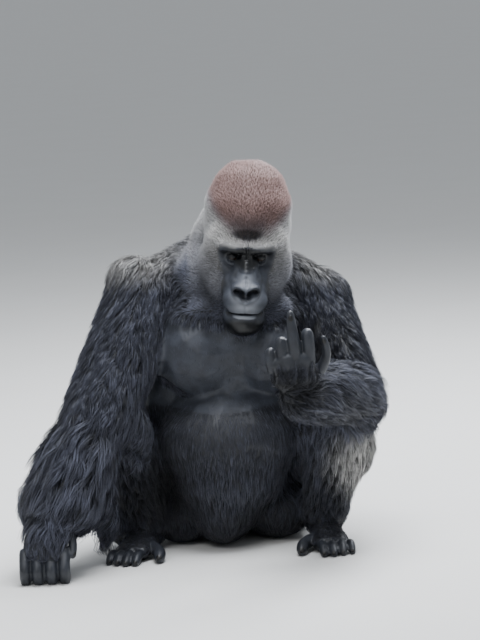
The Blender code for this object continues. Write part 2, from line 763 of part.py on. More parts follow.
def main():
    clear_scene()
    materials = make_materials()
    scene = bpy.context.scene
    gorilla = bpy.data.collections.new("gorilla")
    cutters = bpy.data.collections.new("cutters")
    scene.collection.children.link(gorilla)
    scene.collection.children.link(cutters)

    # Whole forms, each overlapping its neighbours.
    form = trunk_form()
    arm_form(form, "R")
    arm_form(form, "L")
    head_form(form)
    muzzle = head_matrix() @ face(0, 0.150, -0.050)
    zones = ((HEAD, 0.19, 0.55), (muzzle, 0.13, 0.22))
    body = blended(form, "body", gorilla, BODY_VOXEL, 7, BODY_FACES, zones)
    legs = {}
    hands = {"R": propped_hand_form(), "L": raised_hand_form()}
    digits = {"R": propped_digits(gorilla), "L": raised_digits(gorilla)}
    toes = {}
    for side in SIDES:
        form = leg_form(side)
        foot_form(form, side)
        legs[side] = blended(form, "leg_" + side, gorilla, 0.0042, 5, LEG_FACES)
        hands[side] = blended(hands[side], "hand_" + side, gorilla, PAW_VOXEL, 4, HAND_FACES)
        toes[side] = toes_of(side, gorilla)
    ears = [ear(side, gorilla) for side in SIDES]
    eyes = [eye(side, gorilla) for side in SIDES]

    # Each form gives way to the ones before it, so that neighbours meet without overlap.
    order = eyes + ears
    for side in SIDES:
        order += digits[side] + [hands[side]] + toes[side] + [legs[side]]
    order.append(body)
    make_way(order, cutters)
    for thing in order:
        plane_floor(thing)

    # The body and the legs are sawn into named pieces.
    pieces = {thing.name: thing for thing in order}
    part_body(pieces, cutters, gorilla)
    for side in SIDES:
        part_leg(pieces, side, cutters, gorilla)
    for name, piece in pieces.items():
        piece.name = name
    for name, piece in pieces.items():
        dress(piece, name, materials)
    centre_on_floor(pieces.values(), list(cutters.objects))


def make_way(order, cutters):
    """Cuts every form by a slightly swollen copy of each earlier form that it touches."""
    outlines = [swollen(thing, cutters) for thing in order]
    for i, thing in enumerate(order):
        for outline in outlines[:i]:
            if boxes_touch(thing, outline):
                subtract(thing, outline)
        largest_only(thing)


def boxes_touch(one, two):
    lows, highs = [], []
    for thing in (one, two):
        points = [vertex.co for vertex in thing.data.vertices]
        lows.append([min(p[i] for p in points) - GAP for i in range(3)])
        highs.append([max(p[i] for p in points) + GAP for i in range(3)])
    return all(lows[0][i] < highs[1][i] and lows[1][i] < highs[0][i] for i in range(3))


def dress(piece, name, materials):
    """Gives a piece its material, and its mesh the piece's name."""
    finish = "coat_black"
    if name.startswith("eye"):
        finish = "eye_brown"
    elif name.startswith(("ear", "toe", "big_toe", "thumb", "index", "middle", "ring", "little")):
        finish = "bare_skin"
    elif name == "pelvis":
        finish = "coat_silver"
    elif name == "head":
        finish = "coat_brown"
    piece.data.materials.clear()
    piece.data.materials.append(materials[finish])
    piece.data.name = name


def centre_on_floor(pieces, cutters):
    """Moves everything so that the floor's origin is below the middle of the box."""
    low, high = Vector((9.0, 9.0)), Vector((-9.0, -9.0))
    for piece in pieces:
        for vertex in piece.data.vertices:
            low = Vector((min(low.x, vertex.co.x), min(low.y, vertex.co.y)))
            high = Vector((max(high.x, vertex.co.x), max(high.y, vertex.co.y)))
    move = Matrix.Translation((-(low.x + high.x) / 2, -(low.y + high.y) / 2, 0.0))
    for thing in list(pieces) + cutters:
        thing.data.transform(move)
        thing.data.update()
    print("moved by", [round(c, 4) for c in move.to_translation()])


if __name__ == "__main__":
    main()
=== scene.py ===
# %% [markdown]
# # A silverback gorilla at life size
# This lesson dresses a plain, faceted model of a squatting gorilla. The solids reach out to the
# tips of the coat. We shrink them to a skin by the depth of the hair, carve the face and hands,
# and then grow a coat of small solid tufts that lie along the body as a gorilla's hair does.

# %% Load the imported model, which is the fixed frame for every piece
import math
from dataclasses import dataclass

import bmesh
import bpy
import numpy as np
from mathutils import Euler, Matrix, Vector
from mathutils.bvhtree import BVHTree
from mathutils.geometry import barycentric_transform
from mathutils.kdtree import KDTree


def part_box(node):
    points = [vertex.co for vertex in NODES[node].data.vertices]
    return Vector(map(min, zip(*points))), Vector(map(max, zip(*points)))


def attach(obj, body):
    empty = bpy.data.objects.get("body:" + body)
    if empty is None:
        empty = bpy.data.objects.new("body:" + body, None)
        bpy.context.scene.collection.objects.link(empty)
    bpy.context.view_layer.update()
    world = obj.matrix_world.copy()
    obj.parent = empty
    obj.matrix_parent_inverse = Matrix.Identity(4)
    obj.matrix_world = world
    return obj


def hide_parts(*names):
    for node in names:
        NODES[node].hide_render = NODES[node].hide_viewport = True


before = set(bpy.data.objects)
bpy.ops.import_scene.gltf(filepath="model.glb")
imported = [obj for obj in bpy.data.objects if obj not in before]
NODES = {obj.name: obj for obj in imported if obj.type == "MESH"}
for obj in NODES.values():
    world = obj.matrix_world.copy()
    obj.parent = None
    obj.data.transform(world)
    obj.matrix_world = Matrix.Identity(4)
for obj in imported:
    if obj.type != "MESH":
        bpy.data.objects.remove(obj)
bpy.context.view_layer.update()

EYE_NODES = ("eye_L", "eye_R")
FLESH = sorted(name for name in NODES if name not in EYE_NODES)
DIGIT_WORDS = ("thumb", "index", "middle", "ring", "little", "toe", "big_toe")
DIGIT_NODES = [name for name in FLESH if name.startswith(DIGIT_WORDS)]
BODY_NODES = [name for name in FLESH if name not in DIGIT_NODES]
print("nodes of flesh:", len(FLESH), "of which fingers and toes:", len(DIGIT_NODES))

# %% [markdown]
# ## Places on the body
# Every place is worked out from the frame. The eyes are easy to find and fix the head, and the
# joints keep their known distances from the head. The head's own frame runs across (x), forward
# from the ear canals, and up; `on_head` turns such a point into the world.

# %% Find the head from the eyes, and the joints from the head
def middle(name):
    """The middle of a node's box."""
    low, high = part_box(name)
    return (low + high) / 2


# Turn of the head, and the place and radius of the eyes in the head's own frame, in metres.
HEAD_TURN = Euler([math.radians(a) for a in (17.0, 5.5, 1.5)], "XYZ").to_matrix()
EYE_SPREAD, EYE_AHEAD, EYE_UP, EYE_RADIUS = 0.0352, 0.1030, 0.0035, 0.0125
HEAD = (middle("eye_L") + middle("eye_R")) / 2 - HEAD_TURN @ Vector((0, -EYE_AHEAD, EYE_UP))
MODELLED_HEAD = Vector((0.025, -0.045, 0.787))


def on_head(x, forward, up):
    """A point given in the head's own frame, turned into the world."""
    return HEAD + HEAD_TURN @ Vector((x, -forward, up))


def at(x, y, z):
    """A point given where the parts were first modelled, moved with them to the frame."""
    return Vector((x, y, z)) - MODELLED_HEAD + HEAD


SHOULDER = {"R": at(-0.245, 0.04, 0.645), "L": at(0.208, 0.07, 0.605)}
ELBOW = {"R": at(-0.392, -0.24, 0.350), "L": at(0.296, -0.19, 0.400)}
WRIST = {"R": at(-0.505, -0.375, 0.150), "L": at(0.128, -0.440, 0.440)}
KNUCKLES = {"R": at(-0.520, -0.425, 0.078), "L": at(0.126, -0.470, 0.534)}
HIP = {"R": at(-0.165, 0.17, 0.160), "L": at(0.070, 0.16, 0.160)}
KNEE = {"R": at(-0.318, -0.085, 0.285), "L": at(0.240, -0.110, 0.290)}
ANKLE = {"R": at(-0.272, -0.085, 0.075), "L": at(0.192, -0.100, 0.075)}
TOES = {"R": at(-0.305, -0.215, 0.028), "L": at(0.202, -0.225, 0.028)}
DOWN = Vector((0, 0, -1))
print("head at", [round(v, 3) for v in HEAD])

# %% [markdown]
# ## Colours, nodes and pieces
# Shaders work in linear light, so colours are written as sRGB hex and turned by one function.
# Another adds a shader node, and the rest make meshes and put finished ones in the scene, at the
# origin, as pieces that ride on the one body.

# %% Helpers for colours, nodes and pieces
def linear(code, alpha=1.0):
    """A colour written as sRGB hex, turned to the linear values that shaders use."""
    parts = [int(code[i:i + 2], 16) / 255 for i in (1, 3, 5)]
    return [c / 12.92 if c <= 0.04045 else ((c + 0.055) / 1.055) ** 2.4 for c in parts] + [alpha]


def node(tree, kind, inputs=None, **settings):
    """Adds a shader node, sets it up, and links or fills its inputs."""
    made = tree.nodes.new("ShaderNode" + kind)
    for name, value in settings.items():
        setattr(made, name, value)
    for socket, value in (inputs or {}).items():
        if isinstance(value, bpy.types.NodeSocket):
            tree.links.new(value, made.inputs[socket])
        else:
            made.inputs[socket].default_value = value
    return made


def new_material(name):
    """An empty material and its tree, with the output ready to be linked."""
    material = bpy.data.materials.new(name)
    material.use_nodes = True
    material.node_tree.nodes.clear()
    return material, material.node_tree


def linked(name, data):
    """A new object in the scene."""
    thing = bpy.data.objects.new(name, data)
    bpy.context.scene.collection.objects.link(thing)
    return thing


def mesh_from(form, name):
    """Turns a bmesh into a mesh, and frees it."""
    mesh = bpy.data.meshes.new(name)
    form.to_mesh(mesh)
    form.free()
    return mesh


def place(name, mesh, material):
    """A piece at the origin, which rides on the one body."""
    piece = linked(name, mesh)
    mesh.materials.clear()
    mesh.materials.append(material)
    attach(piece, "root")
    return piece


print("middle grey in linear light:", round(linear("#808080")[0], 3))

# %% [markdown]
# ## Floor, camera and light
# A museum model is shown on a plain pale floor in soft light. The camera stands eight metres
# away, a little above the animal, and is rolled by a few degrees.

# %% Lay the floor
FLOOR_REACH, UNEVEN_MM = 70.0, 333.3
floor_form = bmesh.new()
bmesh.ops.create_grid(floor_form, x_segments=1, y_segments=1, size=FLOOR_REACH)
# Painted plaster: matt, with a faint unevenness from the trowel.
plaster, tree = new_material("painted_plaster")
coords = node(tree, "TexCoord").outputs["Object"]
mottle = node(tree, "TexNoise", {"Vector": coords, "Scale": 1000 / UNEVEN_MM, "Detail": 3.0})
tint = node(tree, "MixRGB", {"Fac": mottle.outputs["Fac"], "Color1": linear("#d9d8d4"),
                             "Color2": linear("#dddcd9")})
shader = node(tree, "BsdfPrincipled", {"Base Color": tint.outputs[0], "Roughness": 0.85})
node(tree, "OutputMaterial", {"Surface": shader.outputs[0]})
studio_floor = linked("studio_floor", mesh_from(floor_form, "studio_floor"))
studio_floor.data.materials.append(plaster)
print("floor:", 2 * FLOOR_REACH, "m across")

# %% Aim the camera
# Where it aims, how far away it is, its pitch and roll, the height it sees in metres, and the
# sensor's width in millimetres.
AIM = at(0.0, -0.05, 0.586)
AWAY, PITCH, ROLL, FRAME_HEIGHT, SENSOR = 8.0, math.radians(8), math.radians(3), 1.664, 36.0
sight = Vector((0, math.cos(PITCH), -math.sin(PITCH)))
camera = linked("camera", bpy.data.cameras.new("camera"))
camera.data.sensor_width = SENSOR
camera.data.lens = SENSOR * AWAY / FRAME_HEIGHT
facing = sight.to_track_quat("-Z", "Y").to_matrix().to_4x4() @ Matrix.Rotation(-ROLL, 4, "Z")
camera.matrix_world = Matrix.Translation(AIM - sight * AWAY) @ facing
bpy.context.scene.camera = camera
print("lens", round(camera.data.lens, 1), "mm")

# %% Hang the lights
AIR_STRENGTH = 0.60
world = bpy.data.worlds.new("studio_air")
world.use_nodes = True
world.node_tree.nodes["Background"].inputs["Color"].default_value = linear("#e6ecf4")
world.node_tree.nodes["Background"].inputs["Strength"].default_value = AIR_STRENGTH
bpy.context.scene.world = world


def soft_light(name, place_at, size, watts, colour):
    """A square area light that points at the chest."""
    lamp = bpy.data.lights.new(name, "AREA")
    lamp.size = size
    lamp.energy = watts
    lamp.color = linear(colour)[:3]
    spot = AIM + Vector(place_at)
    turn = (AIM - spot).to_track_quat("-Z", "Y")
    linked(name, lamp).matrix_world = Matrix.LocRotScale(spot, turn, None)
    print(name, "light:", watts, "W")


soft_light("overhead", (0.2, 0.1, 3.4), 2.4, 290, "#f4f8ff")
soft_light("front", (-1.6, -3.4, 3.0), 2.0, 62, "#ffffff")
soft_light("back_rim", (1.5, 2.4, 3.0), 1.8, 230, "#f4f8ff")

# %% [markdown]
# ## Tools for even meshes
# Soft bodies are easiest to shape as an even mesh of small quads. `even` melts any set of closed
# forms into one such skin, and `soften` averages a value over each point's neighbours.

# %% Melt forms together, and read meshes as arrays
def applied(thing):
    """The mesh that an object's modifiers make. The object itself is removed."""
    graph = bpy.context.evaluated_depsgraph_get()
    made = bpy.data.meshes.new_from_object(thing.evaluated_get(graph))
    bpy.data.objects.remove(thing)
    return made


def even(form, cell, name):
    """Melts the closed forms in a bmesh into one mesh with faces about a cell across."""
    thing = linked(name, mesh_from(form, name))
    melt = thing.modifiers.new("melt", "REMESH")
    melt.mode = "VOXEL"
    melt.voxel_size = cell
    return applied(thing)


def read(items, label, width, kind):
    """One row of values for each item of a mesh."""
    values = np.empty(len(items) * width, kind)
    items.foreach_get(label, values)
    return values.reshape(-1, width)


def points_of(mesh):
    return read(mesh.vertices, "co", 3, np.float32).astype(float)


def normals_of(mesh):
    return read(mesh.vertex_normals, "vector", 3, np.float32).astype(float)


def edges_of(mesh):
    return read(mesh.edges, "vertices", 2, np.int32)


def triangles_of(mesh):
    mesh.calc_loop_triangles()
    return read(mesh.loop_triangles, "vertices", 3, np.int32)


def set_points(mesh, points):
    mesh.vertices.foreach_set("co", points.astype(np.float32).ravel())
    mesh.update()


print("corners of the floor:", len(points_of(studio_floor.data)))

# %% Soften values, and blend between them
def soften(values, edges, rounds, share=0.5):
    """Moves each value towards the mean of its neighbours, several times."""
    count = len(values)
    first, second = edges[:, 0], edges[:, 1]
    many = np.bincount(first, minlength=count) + np.bincount(second, minlength=count)
    many = np.maximum(many, 1)
    columns = values.reshape(count, -1).T.copy()
    for _ in range(rounds):
        for column in columns:
            total = np.bincount(first, column[second], count)
            total += np.bincount(second, column[first], count)
            column += share * (total / many - column)
    return columns.T.reshape(values.shape)


def unit(vectors):
    return vectors / np.maximum(np.linalg.norm(vectors, axis=-1, keepdims=True), 1e-9)


def ramp(values, low, high):
    """0 below low, 1 above high, and smooth between."""
    t = np.clip((values - low) / (high - low), 0, 1)
    return t * t * (3 - 2 * t)


print("a quarter of the way up a ramp:", round(float(ramp(0.25, 0, 1)), 3))

# %% [markdown]
# ## One skin from the solids
# The solids are joined and melted into one closed surface. Each part of the body has a row in
# the coat chart: how deep its coat is, how long and wide its tufts are, how much they hang free,
# and how thickly they grow. Every point of the surface takes the row of its nearest node, and
# the chart is softened over the surface, so that one part runs into the next.

# %% The coat chart, in millimetres
#             depth length width hang thickness
CHART = {
    "head": (7.0, 11, 1.55, 0.00, 1.0),
    "ear": (0.6, 6, 0.8, 0.00, 0.1),
    "neck": (14.0, 40, 1.9, 0.05, 1.0),
    "chest": (13.0, 42, 2.3, 0.05, 1.0),
    "belly": (9.0, 46, 1.8, 0.04, 0.9),
    "pelvis": (15.0, 46, 2.5, 0.05, 1.0),
    "upper_arm": (18.0, 72, 2.4, 0.22, 1.0),
    "forearm": (24.0, 96, 2.6, 0.36, 1.0),
    "hand": (7.0, 34, 1.7, 0.05, 1.0),
    "thigh": (14.0, 52, 2.3, 0.12, 1.0),
    "shank": (13.0, 48, 2.2, 0.14, 1.0),
    "foot": (4.0, 18, 1.5, 0.00, 0.8),
}
DEPTH, LENGTH, WIDTH, HANG, THICK = range(5)


def stem(name):
    """The chart's row for a node."""
    return name[:-2] if name[-2:] in ("_L", "_R") else name


chart_rows = np.array([CHART[stem(name)] for name in BODY_NODES])
print("deepest coat in the chart:", chart_rows[:, DEPTH].max(), "mm")

# %% Melt the solids into one outer skin
OUTER_CELL, WELD = 0.0045, 0.00001


def welded(name):
    """A copy of a node's solid, with its loose triangles joined."""
    form = bmesh.new()
    form.from_mesh(NODES[name].data)
    bmesh.ops.remove_doubles(form, verts=form.verts, dist=WELD)
    return form


flesh_form = bmesh.new()
node_meshes = []
for name in BODY_NODES:
    node_meshes.append(mesh_from(welded(name), "clean_" + name))
    flesh_form.from_mesh(node_meshes[-1])
outer = even(flesh_form, OUTER_CELL, "outer")
outer_points, outer_edges = points_of(outer), edges_of(outer)
print("outer skin:", len(outer_points), "points")

# %% Give every point of the outer skin to its nearest node
corner_list, face_list, owner_list = [], [], []
start = 0
for index, clean in enumerate(node_meshes):
    corner_list.append(points_of(clean))
    faces = triangles_of(clean)
    face_list.append(faces + start)
    owner_list.append(np.full(len(faces), index))
    start += len(corner_list[-1])
solids = BVHTree.FromPolygons(np.vstack(corner_list).tolist(), np.vstack(face_list).tolist())
face_owner = np.concatenate(owner_list)
outer_owner = np.array([face_owner[solids.find_nearest(p)[2]] for p in outer_points.tolist()])
print("points given to nodes:", len(outer_owner))

# %% [markdown]
# ## The lie of the coat
# A gorilla's hair runs away from the face over the head, down the neck, back and belly, along
# the upper arms to the elbow, and along the legs to the feet. On the forearms it fans out from
# the wrist. One direction for each node is enough, since it is laid onto the surface and softened.

# %% Directions of the hair
def towards(a, b, down=0.3, out=(0, 0, 0)):
    """From a to b, pulled down by its own weight and out by a fan."""
    return ((b - a).normalized() + DOWN * down + Vector(out)).normalized()


LIE = {
    "neck": Vector((0, 0.35, -1)), "chest": Vector((0, 0.10, -1)),
    "belly": Vector((0, -0.10, -1)), "pelvis": Vector((0, 0.25, -1)),
    "forearm_R": towards(ELBOW["R"], WRIST["R"], 0.6, (-0.25, 0, 0)),
    "forearm_L": towards(WRIST["L"], ELBOW["L"], 0.5, (0.2, 0, 0)),
    "hand_R": towards(WRIST["R"], KNUCKLES["R"], 0.3),
    "hand_L": towards(WRIST["L"], KNUCKLES["L"], 0.0),
}
for side, out in (("R", -0.1), ("L", 0.1)):
    LIE["upper_arm_" + side] = towards(SHOULDER[side], ELBOW[side], 0.5, (out, 0, 0))
    LIE["thigh_" + side] = towards(HIP[side], KNEE[side], 1.4, (out, 0.1, 0))
    LIE["shank_" + side] = towards(KNEE[side], ANKLE[side], 0.3)
    LIE["foot_" + side] = towards(ANKLE[side], TOES[side], 0.2)
FACE_CENTRE = on_head(0, 0.150, -0.030)


def head_frame(points):
    """Points in the head's own frame, as across, forward and up."""
    local = (points - np.array(HEAD)) @ np.array(HEAD_TURN)
    return local[:, 0], -local[:, 1], local[:, 2]


lie_rows = np.array([LIE.get(name, DOWN).normalized() for name in BODY_NODES])
outer_lie = lie_rows[outer_owner]
on_the_head = np.isin(outer_owner, [BODY_NODES.index(n) for n in ("head", "ear_L", "ear_R")])
away = unit(outer_points - np.array(FACE_CENTRE)) + np.array(HEAD_TURN @ Vector((0, 0.8, 0)))
outer_lie[on_the_head] = unit(away)[on_the_head]
print("directions laid on", len(outer_lie), "points")

# %% [markdown]
# ## Where the skin is bare
# The face is bare from the brow ridge down to the chin, between the hairy cheeks. The ears, the
# fingers and toes, the palms and soles are bare too, and the breast has only a thin short down.
# Once the depth of the coat is known everywhere, the surface is shrunk by it.

# %% The bare face
# Half width of the bare face at heights in the head's own frame, in metres.
FACE_HEIGHTS = (-0.200, -0.185, -0.160, -0.120, -0.080, -0.050, -0.030, 0.000, 0.026, 0.036, 0.044)
FACE_HALVES = (0.000, 0.030, 0.046, 0.057, 0.058, 0.050, 0.058, 0.071, 0.073, 0.066, 0.000)
CHIN_END, BROW_END = -0.21, 0.07


def bare_face(points):
    """1 on the bare face, 0 in the hair round it."""
    across, forward, up = head_frame(points)
    half = np.interp(up, FACE_HEIGHTS, FACE_HALVES)
    inside = ramp(half - np.abs(across), -0.007, 0.005)
    return inside * ramp(forward, 0.045, 0.070) * (up > CHIN_END) * (up < BROW_END)


def named(owners, *names):
    """Which points belong to some nodes."""
    return np.isin(owners, [BODY_NODES.index(n) for n in names])


bare = np.where(on_the_head, bare_face(outer_points), 0.0)
bare[named(outer_owner, "ear_L", "ear_R")] = 1.0
print("bare points on the head:", int((bare > 0.5).sum()))

# %% The breast, the belly, the palms and the soles
BELLY_LOW, BELLY_HIGH = at(0, 0, 0.17).z, at(0, 0, 0.34).z
outer_normals = normals_of(outer)
front = ramp(-outer_normals[:, 1], 0.05, 0.55)
chart = chart_rows[outer_owner].copy()
# The propped hand is hung over by longer hair from the wrist.
propped = named(outer_owner, "hand_R")
chart[propped, LENGTH] *= 1.6
chart[propped, HANG] = 0.30
breast = named(outer_owner, "chest") * front
belly_front = named(outer_owner, "belly") * front
high_belly = belly_front * ramp(outer_points[:, 2], BELLY_LOW, BELLY_HIGH)
# How much less depth, length, width and thickness the breast and the high belly have.
for thinned, falls in ((breast, (0.85, 0.70, 0.50, 0.80)), (high_belly, (0.65, 0.45, 0.30, 0.0))):
    for column, fall in zip((DEPTH, LENGTH, WIDTH, THICK), falls):
        chart[:, column] *= 1 - fall * thinned
# Down on the breast and high on the belly is so thin that the skin shows.
bare = np.maximum(bare, np.maximum(0.86 * breast, 0.20 * high_belly))
above_knuckles = outer_points[:, 2] - KNUCKLES["L"].z
short = named(outer_owner, "hand_L") * ramp(above_knuckles, -0.030, -0.018)
palm = named(outer_owner, "hand_L", "hand_R") * ramp(outer_normals[:, 1], 0.25, 0.55)
sole = named(outer_owner, "foot_L", "foot_R", "hand_R") * ramp(-outer_normals[:, 2], 0.55, 0.80)
bare = np.maximum(bare, np.maximum(short, np.maximum(palm, sole)))
print("bare points:", int((bare > 0.5).sum()))

# %% Soften the chart, and shrink the surface to the skin
BARE_DEPTH = 0.3
skin_deep = np.where(named(outer_owner, "chest", "belly"), 0, bare)
chart[:, DEPTH] = chart[:, DEPTH] * (1 - skin_deep) + BARE_DEPTH * skin_deep
outer_chart = soften(chart, outer_edges, 16)
outer_bare = soften(bare, outer_edges, 2)
outer_lie = soften(outer_lie, outer_edges, 24)
inner_points = outer_points - outer_normals * outer_chart[:, DEPTH:DEPTH + 1] / 1000
inner_points = soften(inner_points, outer_edges, 3)
set_points(outer, inner_points)
inner_normals = normals_of(outer)
outer_lie = unit(outer_lie - inner_normals * (outer_lie * inner_normals).sum(1, keepdims=True))
print("deepest coat:", round(outer_chart[:, DEPTH].max(), 1), "mm")

# %% [markdown]
# ## Forms of the face
# The melted solids give the head its true mass. The finer forms of the face are added as small
# closed lumps and rows of beads, and melted in with the rest: brow bar, lids, bridge and wings of
# the nose, lips and chin.

# %% Beads and lumps for the face
def lump(form, centre, radii):
    """A closed egg-shaped lump, placed and turned with the head."""
    matrix = Matrix.LocRotScale(on_head(*centre), HEAD_TURN, Vector(radii))
    bmesh.ops.create_icosphere(form, subdivisions=3, radius=1.0, matrix=matrix)


def beads(form, path, closeness=0.35):
    """A row of overlapping balls along a path of (point, radius) on the head."""
    for (a, r_a), (b, r_b) in zip(path, path[1:]):
        a, b = Vector(a), Vector(b)
        steps = max(1, math.ceil((b - a).length / (closeness * min(r_a, r_b))))
        for i in range(steps + 1):
            t = i / steps
            r = r_a + (r_b - r_a) * t
            matrix = Matrix.LocRotScale(on_head(*a.lerp(b, t)), None, Vector((r, r, r)))
            bmesh.ops.create_icosphere(form, subdivisions=2, radius=1.0, matrix=matrix)


# Fingers and toes swell a little, and the propped fingers until they lie against each other.
DIGIT_SWELL, PROPPED_SWELL = 0.0010, 0.0023


def rounded_digit(name):
    """A finger or toe as a smooth closed tube: its faceted solid, subdivided and swollen."""
    form = welded(name)
    propped = name in ("index_R", "middle_R", "ring_R", "little_R")
    for vertex in form.verts:
        vertex.co += vertex.normal * (PROPPED_SWELL if propped else DIGIT_SWELL)
    thing = linked("rounded_" + name, mesh_from(form, "rounded_" + name))
    smooth = thing.modifiers.new("smooth", "SUBSURF")
    smooth.levels = smooth.render_levels = 2
    return applied(thing)


print("finger swell:", DIGIT_SWELL * 1000, "mm, propped fingers:", PROPPED_SWELL * 1000, "mm")

# %% Melt the lumps, the fingers and the toes into the skin
# The skin's cell, and the thickness of a lid over the eyeball.
SKIN_CELL, LID = 0.0030, 0.0022
skin_form = bmesh.new()
skin_form.from_mesh(outer)
for name in DIGIT_NODES:
    skin_form.from_mesh(rounded_digit(name))
for sign in (-1, 1):
    # Brow bar, from the middle to the temple.
    beads(skin_form, [((0, 0.124, 0.032), 0.0130), ((sign * 0.030, 0.127, 0.036), 0.0130),
                      ((sign * 0.056, 0.110, 0.034), 0.0135), ((sign * 0.076, 0.082, 0.022), 0.0130)])
    # Side of the bridge and wing of the nose.
    beads(skin_form, [((sign * 0.0125, 0.121, -0.004), 0.0140), ((sign * 0.0285, 0.147, -0.050), 0.0180)])
    lump(skin_form, (sign * 0.0200, 0.187, -0.0520), (0.0180, 0.0175, 0.0170))
    # Lids, side of the muzzle and cheek bone.
    lump(skin_form, (sign * EYE_SPREAD, EYE_AHEAD, EYE_UP), [EYE_RADIUS + LID + 0.0008] * 3)
    lump(skin_form, (sign * 0.034, 0.112, -0.070), (0.034, 0.046, 0.044))
    beads(skin_form, [((sign * 0.062, 0.092, -0.030), 0.019), ((sign * 0.036, 0.112, -0.040), 0.018)])
# Bridge and tip of the nose.
beads(skin_form, [((0, 0.118, 0.018), 0.0115), ((0, 0.176, -0.040), 0.0150)])
lump(skin_form, (0, 0.192, -0.048), (0.0130, 0.0150, 0.0155))
# Muzzle, upper lip, chin and lower lip.
lump(skin_form, (0, 0.135, -0.080), (0.0585, 0.066, 0.053))
lump(skin_form, (0, 0.168, -0.087), (0.0590, 0.0475, 0.0360))
lump(skin_form, (0, 0.148, -0.146), (0.0560, 0.0560, 0.0460))
lump(skin_form, (0, 0.164, -0.144), (0.0520, 0.0420, 0.0400))
skin = even(skin_form, SKIN_CELL, "gorilla_skin")
print("skin:", len(skin.vertices), "points")

# %% [markdown]
# ## Carry the chart over
# Melting makes new points, which know nothing of the chart. Each one takes the values of the
# nearest point of the shrunken outer skin. Fingers and toes are found again by their nearness to
# their solids, and count as bare.

# %% Carry the chart over to the new skin
def ball(points, centre, radii, edge=0.5):
    """1 at a centre, 0 outside its radii, with a soft edge."""
    reach = np.linalg.norm((points - np.array(centre)) / np.array(radii), axis=1)
    return 1 - ramp(reach, 1 - edge, 1)


digit_form = bmesh.new()
for name in DIGIT_NODES:
    digit_form.from_mesh(NODES[name].data)
digit_tree = BVHTree.FromBMesh(digit_form)
digit_form.free()
nearest = KDTree(len(inner_points))
for index, point in enumerate(inner_points.tolist()):
    nearest.insert(point, index)
nearest.balance()
skin_points = points_of(skin)
carried = np.array([nearest.find(p)[1] for p in skin_points.tolist()])
skin_edges = edges_of(skin)
skin_points = soften(skin_points, skin_edges, 2)
set_points(skin, skin_points)
skin_normals = normals_of(skin)
chart = soften(outer_chart[carried], skin_edges, 2)
owner = outer_owner[carried]
lie = outer_lie[carried]
bare = np.maximum(outer_bare[carried], bare_face(skin_points) * named(owner, "head"))
NEAR_DIGIT = 0.003
near_paw = np.nonzero(named(owner, "hand_L", "hand_R", "foot_L", "foot_R"))[0]
on_digit = np.zeros(len(skin_points))
on_digit[near_paw] = [digit_tree.find_nearest(q, NEAR_DIGIT)[0] is not None
                      for q in skin_points[near_paw].tolist()]
bare = np.maximum(bare, soften(on_digit, skin_edges, 3))
for name in ("ear_L", "ear_R"):
    # Hair parts round the ear, and shows its dark hollow.
    ear_front = middle(name) + HEAD_TURN @ Vector((0, -0.006, 0))
    bare = np.maximum(bare, ball(skin_points, ear_front, (0.021, 0.021, 0.027), 0.3))
print("chart carried over;", int(on_digit.sum()), "points on fingers and toes")

# %% [markdown]
# ## Markings
# An old male has a silver saddle over the back and rump that runs out on the thighs, pale shoulder tops,
# grey sides to the neck and face, a red-brown crown with a dark patch over the brow, and dark limbs. The
# pale shoulder tops are grey-tipped hair with a painted highlight, and painted shade darkens the hollows,
# the under sides and the low front of the crown. Each marking is a soft-edged ball or band, and the same
# silver and red are given to the skin and to the tufts that grow from it, while the black and painted shade
# darken only the tufts.

# %% Markings of the head, with painted shade low on the crown
def head_markings_and_painted_shade(points):
    """Shares of silver, red and black on the head: grey sides and brow, and a red crown.

    The crown hangs lower in the middle, and turns black over the middle of the brow. Painted shade darkens
    the crown low at the front.
    """
    across, forward, up = head_frame(points)
    wide = np.abs(across)
    on_face_side = ramp(wide, 0.046, 0.070) * ramp(up, -0.15, -0.02)
    brow_band = ramp(up, 0.030, 0.042) * ramp(forward, 0.03, 0.07)
    nape = ramp(-forward, 0.03, 0.10) * 0.75
    patch = 1 - ramp(np.hypot(across / 0.044, (up - 0.063) / 0.0175), 0.50, 1.0)
    patch *= ramp(forward, 0.02, 0.06)
    # Painted shade: the crown darkens low at the front, over the middle of the brow.
    shadow = (1 - ramp(up, 0.075, 0.125)) * (1 - ramp(wide, 0.028, 0.060))
    shadow *= ramp(forward, 0.02, 0.06)
    bow = np.where(across < 0, 6.0, 3.5)
    crown = ramp(up - 0.058 - bow * across ** 2, -0.020, 0.034)
    crown *= 1 - 0.80 * ramp(-forward, 0.05, 0.12)
    on_face_side *= 0.36 + 0.36 * ramp(up, -0.05, 0.04)
    silver = np.maximum(np.maximum(on_face_side, 0.92 * brow_band), nape) * (1 - patch)
    return silver * (1 - crown), crown * (1 - 0.35 * shadow), np.maximum(patch, 0.45 * shadow * crown)


print("silver on the cheek:", round(float(head_markings_and_painted_shade(np.array([on_head(0.08, 0.05, 0)]))[0][0]), 2))
